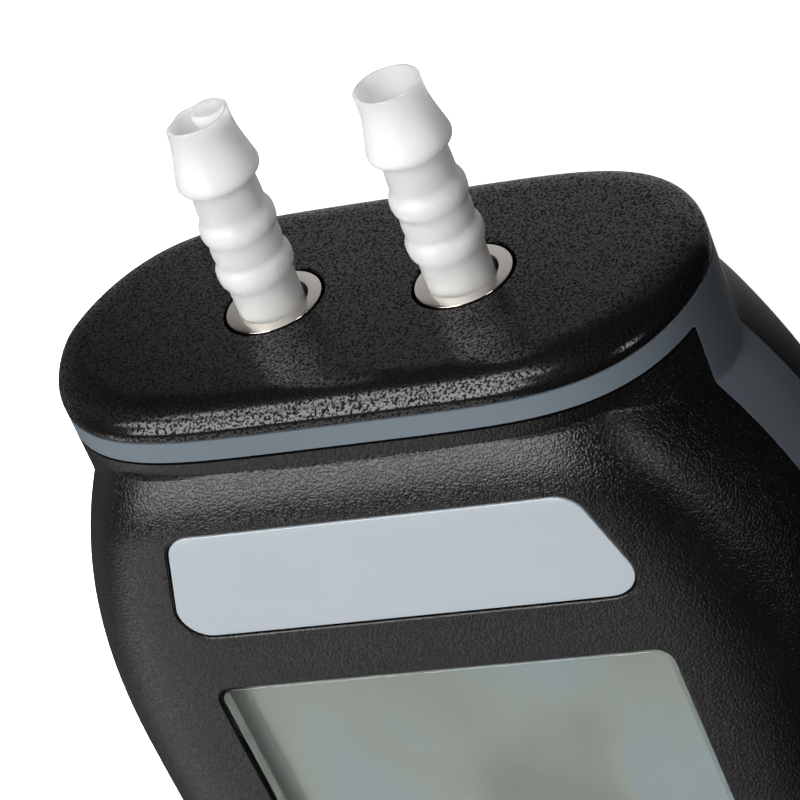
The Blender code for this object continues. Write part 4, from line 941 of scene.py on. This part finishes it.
def buildBush(side, x):
    # a turned profile: chamfered mouth, flange behind the cap, body and a tail with a bore
    b = bushShape
    c = b["chamfer"]
    inwards, down = b["chamferMiddle"]
    depths = [(b["socket"], b["mouthDepth"]), (b["socket"], b["mouth"]), (b["socket"] + b["mouth"], 0.0),
              (b["radius"] - c, 0.0), (b["radius"] - inwards * c, down * c), (b["radius"], c),
              (b["radius"], b["flangeTop"]), (b["flangeRadius"], b["flangeTop"]),
              (b["flangeRadius"], b["flangeTop"] + b["flange"]), (b["radius"], b["flangeTop"] + b["flange"]),
              (b["radius"], b["body"]), (b["tail"], b["body"]), (b["tail"], b["tailEnd"]),
              (b["tailBore"], b["tailEnd"]), (b["tailBore"], b["socketDepth"]),
              (b["socket"], b["socketDepth"])]
    profile = [(radius, topY - depth) for radius, depth in depths]
    rings = turnedRings(profile, x, capShape["portHeight"], b["steps"])
    bush = ringSolid("portBush" + side.capitalize(), rings, loop=True)
    finishPiece(bush, "meter", "port_bush_" + side, "bushNickel", sharp=40)


def smoothThrough(knots, places):
    # a curve through the knots whose slope at each is the mean of its neighbours' slopes (Hermite cubics)
    at, value = np.array(knots, float).T
    slope = np.gradient(value, at)
    i = np.clip(np.searchsorted(at, places, side="right") - 1, 0, len(at) - 2)
    span = at[i + 1] - at[i]
    t = np.clip((places - at[i]) / span, 0, 1)
    return ((1 + 2 * t) * (1 - t) ** 2 * value[i] + t * (1 - t) ** 2 * span * slope[i]
            + t ** 2 * (3 - 2 * t) * value[i + 1] + t ** 2 * (t - 1) * span * slope[i + 1])


def wearTip(rings, x):
    # the rim drops by drop * closeness * ((1 + cos off) / 2)^falloff, rippled round it, and is pushed
    # inwards likewise
    w = wornTip
    z = capShape["portHeight"]
    angle = np.arctan2(rings[..., 2] - z, rings[..., 0] - x)
    facing = ((1 + np.cos(angle - math.radians(w["facing"]))) / 2) ** w["falloff"]
    facing = facing * (1 + w["ripple"] * np.sin(w["ripples"] * angle + w["rippleTurn"]))
    below = topY + barbShape["height"] - rings[..., 1]
    closeness = np.clip(1 - below / w["reach"], 0, 1) ** w["falloff"]
    amount = closeness * facing
    worn = rings.copy()
    worn[..., 1] -= w["drop"] * amount
    worn[..., 0] -= w["push"] * amount * np.cos(angle)
    worn[..., 2] -= w["push"] * amount * np.sin(angle)
    return worn


def moltenSpot(x):
    # a drop of plastic with a raised round edge that fills the mouth on one side
    w = wornTip
    profile = [(radius, topY + barbShape["height"] + rise) for radius, rise in w["craterProfile"]]
    lean = barbShape["lean"][w["side"]][-1][1]
    return ringSolid("moltenSpot", turnedRings(profile, x + lean + w["crater"][0],
                                               capShape["portHeight"] + w["crater"][1], w["craterSteps"]))


def buildBarb(side, x):
    # the measured profile turned round its axis, closed through its bore, then leant a little
    b = barbShape
    bottom = b["profile"][0][0]
    tipRound = b["height"] - b["profile"][-1][0]
    start, count = b["last"]
    heights = np.concatenate([[bottom, 0.0], *[np.linspace(*part) for part in b["finely"]],
                              np.linspace(start, b["height"] - tipRound, count)])
    outside = np.column_stack([smoothThrough(b["profile"], heights), heights])
    turn = np.linspace(*b["lipTurns"]) * math.pi
    lip = np.column_stack([b["tip"] - b["lip"] / 2 * (1 - np.cos(turn)),
                           b["height"] - tipRound * (1 - np.sin(turn))])
    share = np.linspace(0, 1, b["mouthSteps"])
    rim = b["tip"] - b["lip"]
    mouth = np.column_stack([rim - (rim - b["bore"]) * share ** b["mouthBend"],
                             b["height"] - tipRound - b["mouth"] * share])
    bore = np.array([(b["bore"], b["boreTop"]), (b["bore"], bottom)])
    profile = np.concatenate([outside, lip, mouth, bore])
    rings = turnedRings(profile, x, capShape["portHeight"], b["steps"])
    rings[..., 0] += smoothThrough(b["lean"][side], profile[:, 1])[:, None]
    rings[..., 2] += smoothThrough(b["sink"][side], profile[:, 1])[:, None]
    rings[..., 1] += topY
    if side == wornTip["side"]:
        rings = wearTip(rings, x)
    barb = ringSolid("hoseBarb" + side.capitalize(), rings, loop=True)
    if side == wornTip["side"]:
        workIn(barb, "UNION", moltenSpot(x))
    finishPiece(barb, "meter", "hose_barb_" + side, "barbMilky", sharp=60)


for side, x in portPlaces:
    buildBush(side, x)
    buildBarb(side, x)
print("ports made")

# Keys: domed caps with a flange under the face
def buildKey(index, x):
    # rings over the crown, down the rounded edge, out to the flange and in to the foot
    k = keyShape
    gap = caseForm["gap"]
    flangeTop = -frontShape["ledge"] - gap
    turn = np.linspace(0, math.pi / 2, 7)
    steps = [(-k["edge"] * (1 - math.sin(t)), k["proud"] - k["edge"] * (1 - math.cos(t))) for t in turn]
    body = [keyOutline(x, grow) for grow, _ in steps]
    heights = [planeAt(o[:, 1], rise) for o, (_, rise) in zip(body, steps)]
    middle = body[0].mean(axis=0)
    inner = []
    crowned = []
    for share in (0.12, 0.45, 0.75, 0.92):         # rings over the top, raised as crown (1 - share^2)
        ring = middle + (body[0] - middle) * share
        inner.append(ring)
        crowned.append(planeAt(ring[:, 1], k["proud"] + k["crown"] * (1 - share ** 2)))
    flange = keyOutline(x, k["flange"])
    foot = middle + (keyOutline(x, 0.0) - middle) * k["footShare"]
    under = flangeTop - k["flangeThickness"]
    outlines = inner + body + [body[-1], flange, flange, foot, foot]
    levels = crowned + heights + [planeAt(body[-1][:, 1], flangeTop), planeAt(flange[:, 1], flangeTop),
                                  planeAt(flange[:, 1], under), planeAt(foot[:, 1], under), k["footHeight"]]
    key = ringSolid(f"keyCap{index}", outlineRings(outlines, levels))
    finishPiece(key, f"key_{index}", f"key_cap_{index}", "keyGrey", sharp=50)


for index, x in keyPlaces:
    buildKey(index, x)
print("keys made")

# Battery cover and the screws in the back
coverShape = {"thickness": 2.0, "grooves": 5, "grooveStart": 5.0, "groovePitch": 2.6, "grooveWidth": 0.9,
              "grooveDepth": 0.5, "grooveHalf": 9.0, "grooveCorner": 0.4, "edge": 0.25, "holeTop": 7.0}


def buildCover():
    # a flat plate with an eased outer edge, a screw hole and finger grooves
    c = coverShape
    e = c["edge"]
    levels = [(-e, 0.0), (-midRound * e, midRound * e), (0.0, e), (0.0, c["thickness"])]
    cover = ringSolid("batteryCover", outlineRings([coverOutline(grow) for grow, _ in levels],
                                                   [height for _, height in levels]))
    seat = coverScrew["sunk"] + coverScrew["headHeight"] + caseForm["gap"]
    tools = [headHole("coverHole", coverScrew["x"], coverScrew["depth"], seat, c["holeTop"])]
    for row in range(c["grooves"]):
        depth = rearShape["coverTop"] + c["grooveStart"] + row * c["groovePitch"]
        groove = boxOutline(-c["grooveHalf"], c["grooveHalf"], depth, depth + c["grooveWidth"],
                            c["grooveCorner"], 6, 1)
        tools.append(slabTool(f"groove{row}", groove, -1.0, c["grooveDepth"]))
    workIn(cover, "DIFFERENCE", *tools)
    finishPiece(cover, "meter", "battery_cover", "caseBlack", sharp=32)


def buildScrew(name, node, x, depth, bottom, headHeight, length):
    # pan head down, its rim rounded, with a cross recess
    s = screwShape
    seat = bottom + headHeight
    turn = np.linspace(0, math.pi / 2, 6)
    edge = [(s["head"] - s["edge"] * (1 - math.sin(t)), bottom + s["edge"] * (1 - math.cos(t))) for t in turn]
    end = seat + length
    profile = edge + [(s["head"], seat), (s["shank"], seat), (s["shank"], end - s["tip"]),
                      (s["tipShare"] * s["shank"], end)]
    y = topY - depth
    screw = ringSolid(name, peggedRings(profile, x, y, s["steps"]))
    long = s["drive"]
    wide = s["slot"]
    high = bottom + s["slotShare"] * headHeight
    low = bottom - 1
    cross = boxTool(name + "Slot", (x - long, y - wide, low), (x + long, y + wide, high))
    other = boxTool(name + "Cross", (x - wide, y - long, low), (x + wide, y + long, high))
    workIn(cross, "UNION", other)
    workIn(screw, "DIFFERENCE", cross)
    finishPiece(screw, "meter", node, "zincSteel", sharp=35)


buildCover()
for name, x, depth in screwPlaces:
    buildScrew("caseScrew_" + name, "case_screw_" + name, x, depth, screwShape["sunk"],
               screwShape["headHeight"], screwShape["length"])
buildScrew("coverScrew", "battery_cover_screw", coverScrew["x"], coverScrew["depth"], coverScrew["sunk"],
           coverScrew["headHeight"], coverScrew["length"])
print("cover and screws made")

# Solids that stay as they are, with their finishes
innerFinishes = {
    "lcd_glass": "lcdBlank", "circuit_board": "boardMask", "lcd_holder": "mouldedWhite",
    "pressure_sensor": "mouldedWhite", "lcd_connector_upper": "softSilicone",
    "lcd_connector_lower": "softSilicone", "bush_seal_left": "softSilicone",
    "bush_seal_right": "softSilicone", "inner_hose_left": "softSilicone", "inner_hose_right": "softSilicone",
}
threefold = {"switch_housing": "switchBlack", "switch_stem": "mouldedWhite", "battery_cell": "cellJacket",
             "battery_spring": "zincSteel", "contact_top": "zincSteel", "contact_bottom": "zincSteel"}
innerFinishes |= {f"{node}_{index}": finish for node, finish in threefold.items() for index in (1, 2, 3)}
for node, finish in innerFinishes.items():
    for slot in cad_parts[node].material_slots:
        slot.material = finishes[finish]

# Floor, light and camera
floorLook = {"half": 3000.0, "tone": tone(0.93, 0.93, 0.93), "glow": 1.07, "soft": 0.62, "softRight": 0.2,
             "rightOf": (-0.02, 0.09), "mirrored": 0.52, "mirroredFar": 0.02, "from": (0.045, 0.080),
             "to": (0.078, 0.116), "left": (0.032, 0.044), "fade": (-0.050, -0.012), "faded": 0.2,
             "outer": (-0.050, -0.100), "outerGlow": 0.12}
worldLook = {"tone": tone(1.0, 1.0, 1.0), "strength": 0.03}
lightLook = {
    "mainBox": {"at": (-0.76, 0.66, 1.44), "target": (0.0, 0.03, 0.03), "size": (1.40, 1.16),
                "power": 29.5, "diffuse": False},
    "backPanel": {"at": (-0.60, 1.84, 0.36), "target": (0.0, 0.07, 0.03), "size": (1.50, 0.65),
                  "power": 16.0, "diffuse": False},
    "middlePanel": {"at": (-0.85, 1.45, 0.95), "target": (0.0, 0.07, 0.03), "size": (1.60, 0.55),
                    "power": 14.8, "diffuse": False},
    "leftPanel": {"at": (-1.38, -1.50, 1.42), "target": (0.0, 0.03, 0.03), "size": (2.4, 1.5),
                  "power": 10.5},
    "lowLeft": {"at": (-2.00, -1.30, 0.38), "target": (0.0, 0.03, 0.03), "size": (1.60, 0.60), "power": 2.0},
    "rightStrip": {"at": (1.62, 0.44, 0.80), "target": (0.03, 0.06, 0.03), "size": (0.42, 1.00),
                   "power": 5.6, "diffuse": False},
    "softFill": {"at": (-0.20, 0.85, 1.40), "target": (0.0, 0.07, 0.03), "size": (0.80, 1.20),
                 "power": 42.0, "mirrored": False},
}
cameraLook = {"lens": 157.19, "sensor": 36.0, "clip": (0.01, 20.0), "at": (0.13215, 0.24962, 0.27333),
              "right": (0.91417, -0.32852, -0.23742), "up": (0.11463, 0.77138, -0.62597),
              "back": (0.38879, 0.54503, 0.74283)}


def matrixOf(right, up, back, at):
    rows = np.eye(4)
    rows[:3] = np.column_stack([right, up, back, at])
    return Matrix(rows.tolist())


def lookingFrom(at, target):
    # -Z points from at towards the target, X stays level
    back = np.subtract(at, target) / np.linalg.norm(np.subtract(at, target))
    right = np.cross((0, 1, 0), back)
    right = right / np.linalg.norm(right)
    return matrixOf(right, np.cross(back, right), back, at)


def floorPaper():
    # pale paper to the eye; its light on the meter is soft and weaker to the right, and the meter mirrors
    # it only in a patch beyond the cap that fades to the left, and faintly far to the left, as between flags
    look = floorLook
    material, tree, shader = newFinish("floorPaper", {
        "Base Color": look["tone"], "Roughness": 0.9, "Emission Color": look["tone"],
        "Emission Strength": look["glow"]})
    ray = addNode(tree, "LightPath", {}, {}).outputs
    split = addNode(tree, "SeparateXYZ", {}, {0: objectPlace(tree)}).outputs
    beyond = addRange(tree, split["Y"], *look["from"])
    before = addRange(tree, split["Y"], look["to"][1], look["to"][0])
    beside = addRange(tree, split["X"], look["left"][1], look["left"][0])
    faded = addRange(tree, split["X"], *look["fade"], look["faded"])
    patch = addMath(tree, "MULTIPLY", addMath(tree, "MULTIPLY", beyond, before), beside)
    patch = addMath(tree, "MULTIPLY", patch, faded)
    level = addRange(tree, patch, 0.0, 1.0, look["mirroredFar"], look["mirrored"])
    outer = addRange(tree, split["X"], *look["outer"], 0.0, look["outerGlow"])
    soft = addRange(tree, split["X"], *look["rightOf"], look["soft"], look["softRight"])
    pick = addNode(tree, "Mix", {"data_type": "FLOAT"}, {0: ray["Is Glossy Ray"], 2: soft,
                                                         3: addMath(tree, "ADD", level, outer)})
    bounce = addNode(tree, "Emission", {}, {"Strength": pick})
    mix = addNode(tree, "MixShader", {}, {0: ray["Is Camera Ray"], 1: bounce,
                                          2: tree.nodes["Principled BSDF"]})
    feed(tree, tree.nodes["Material Output"].inputs, {"Surface": mix})
    return material


def buildStage():
    half = floorLook["half"]
    corners = np.array([(-half, -half, 0), (half, -half, 0), (half, half, 0), (-half, half, 0)], float)
    floor = addPiece("floor", corners, [[0, 1, 2, 3]])
    floor.data.materials.append(floorPaper())
    world = bpy.data.worlds.new("studio")
    world.use_nodes = True
    sky = world.node_tree.nodes["Background"]
    sky.inputs["Color"].default_value = worldLook["tone"]
    sky.inputs["Strength"].default_value = worldLook["strength"]
    bpy.context.scene.world = world
    for name, look in lightLook.items():
        lamp = bpy.data.lights.new(name, "AREA")
        lamp.shape = "RECTANGLE"
        lamp.size, lamp.size_y = look["size"]
        lamp.energy = look["power"]
        holder = bpy.data.objects.new(name, lamp)
        bpy.context.scene.collection.objects.link(holder)
        holder.matrix_world = lookingFrom(look["at"], look["target"])
        holder.visible_glossy = look.get("mirrored", True)
        holder.visible_diffuse = look.get("diffuse", True)


def placeCamera():
    c = cameraLook
    data = bpy.data.cameras.new("photoCamera")
    data.sensor_width = c["sensor"]
    data.lens = c["lens"]
    data.clip_start, data.clip_end = c["clip"]
    camera = bpy.data.objects.new("photoCamera", data)
    bpy.context.scene.collection.objects.link(camera)
    camera.matrix_world = matrixOf(c["right"], c["up"], c["back"], c["at"])
    bpy.context.scene.camera = camera


buildStage()
placeCamera()
bpy.context.scene.view_settings.view_transform = "Standard"
print("stage set")
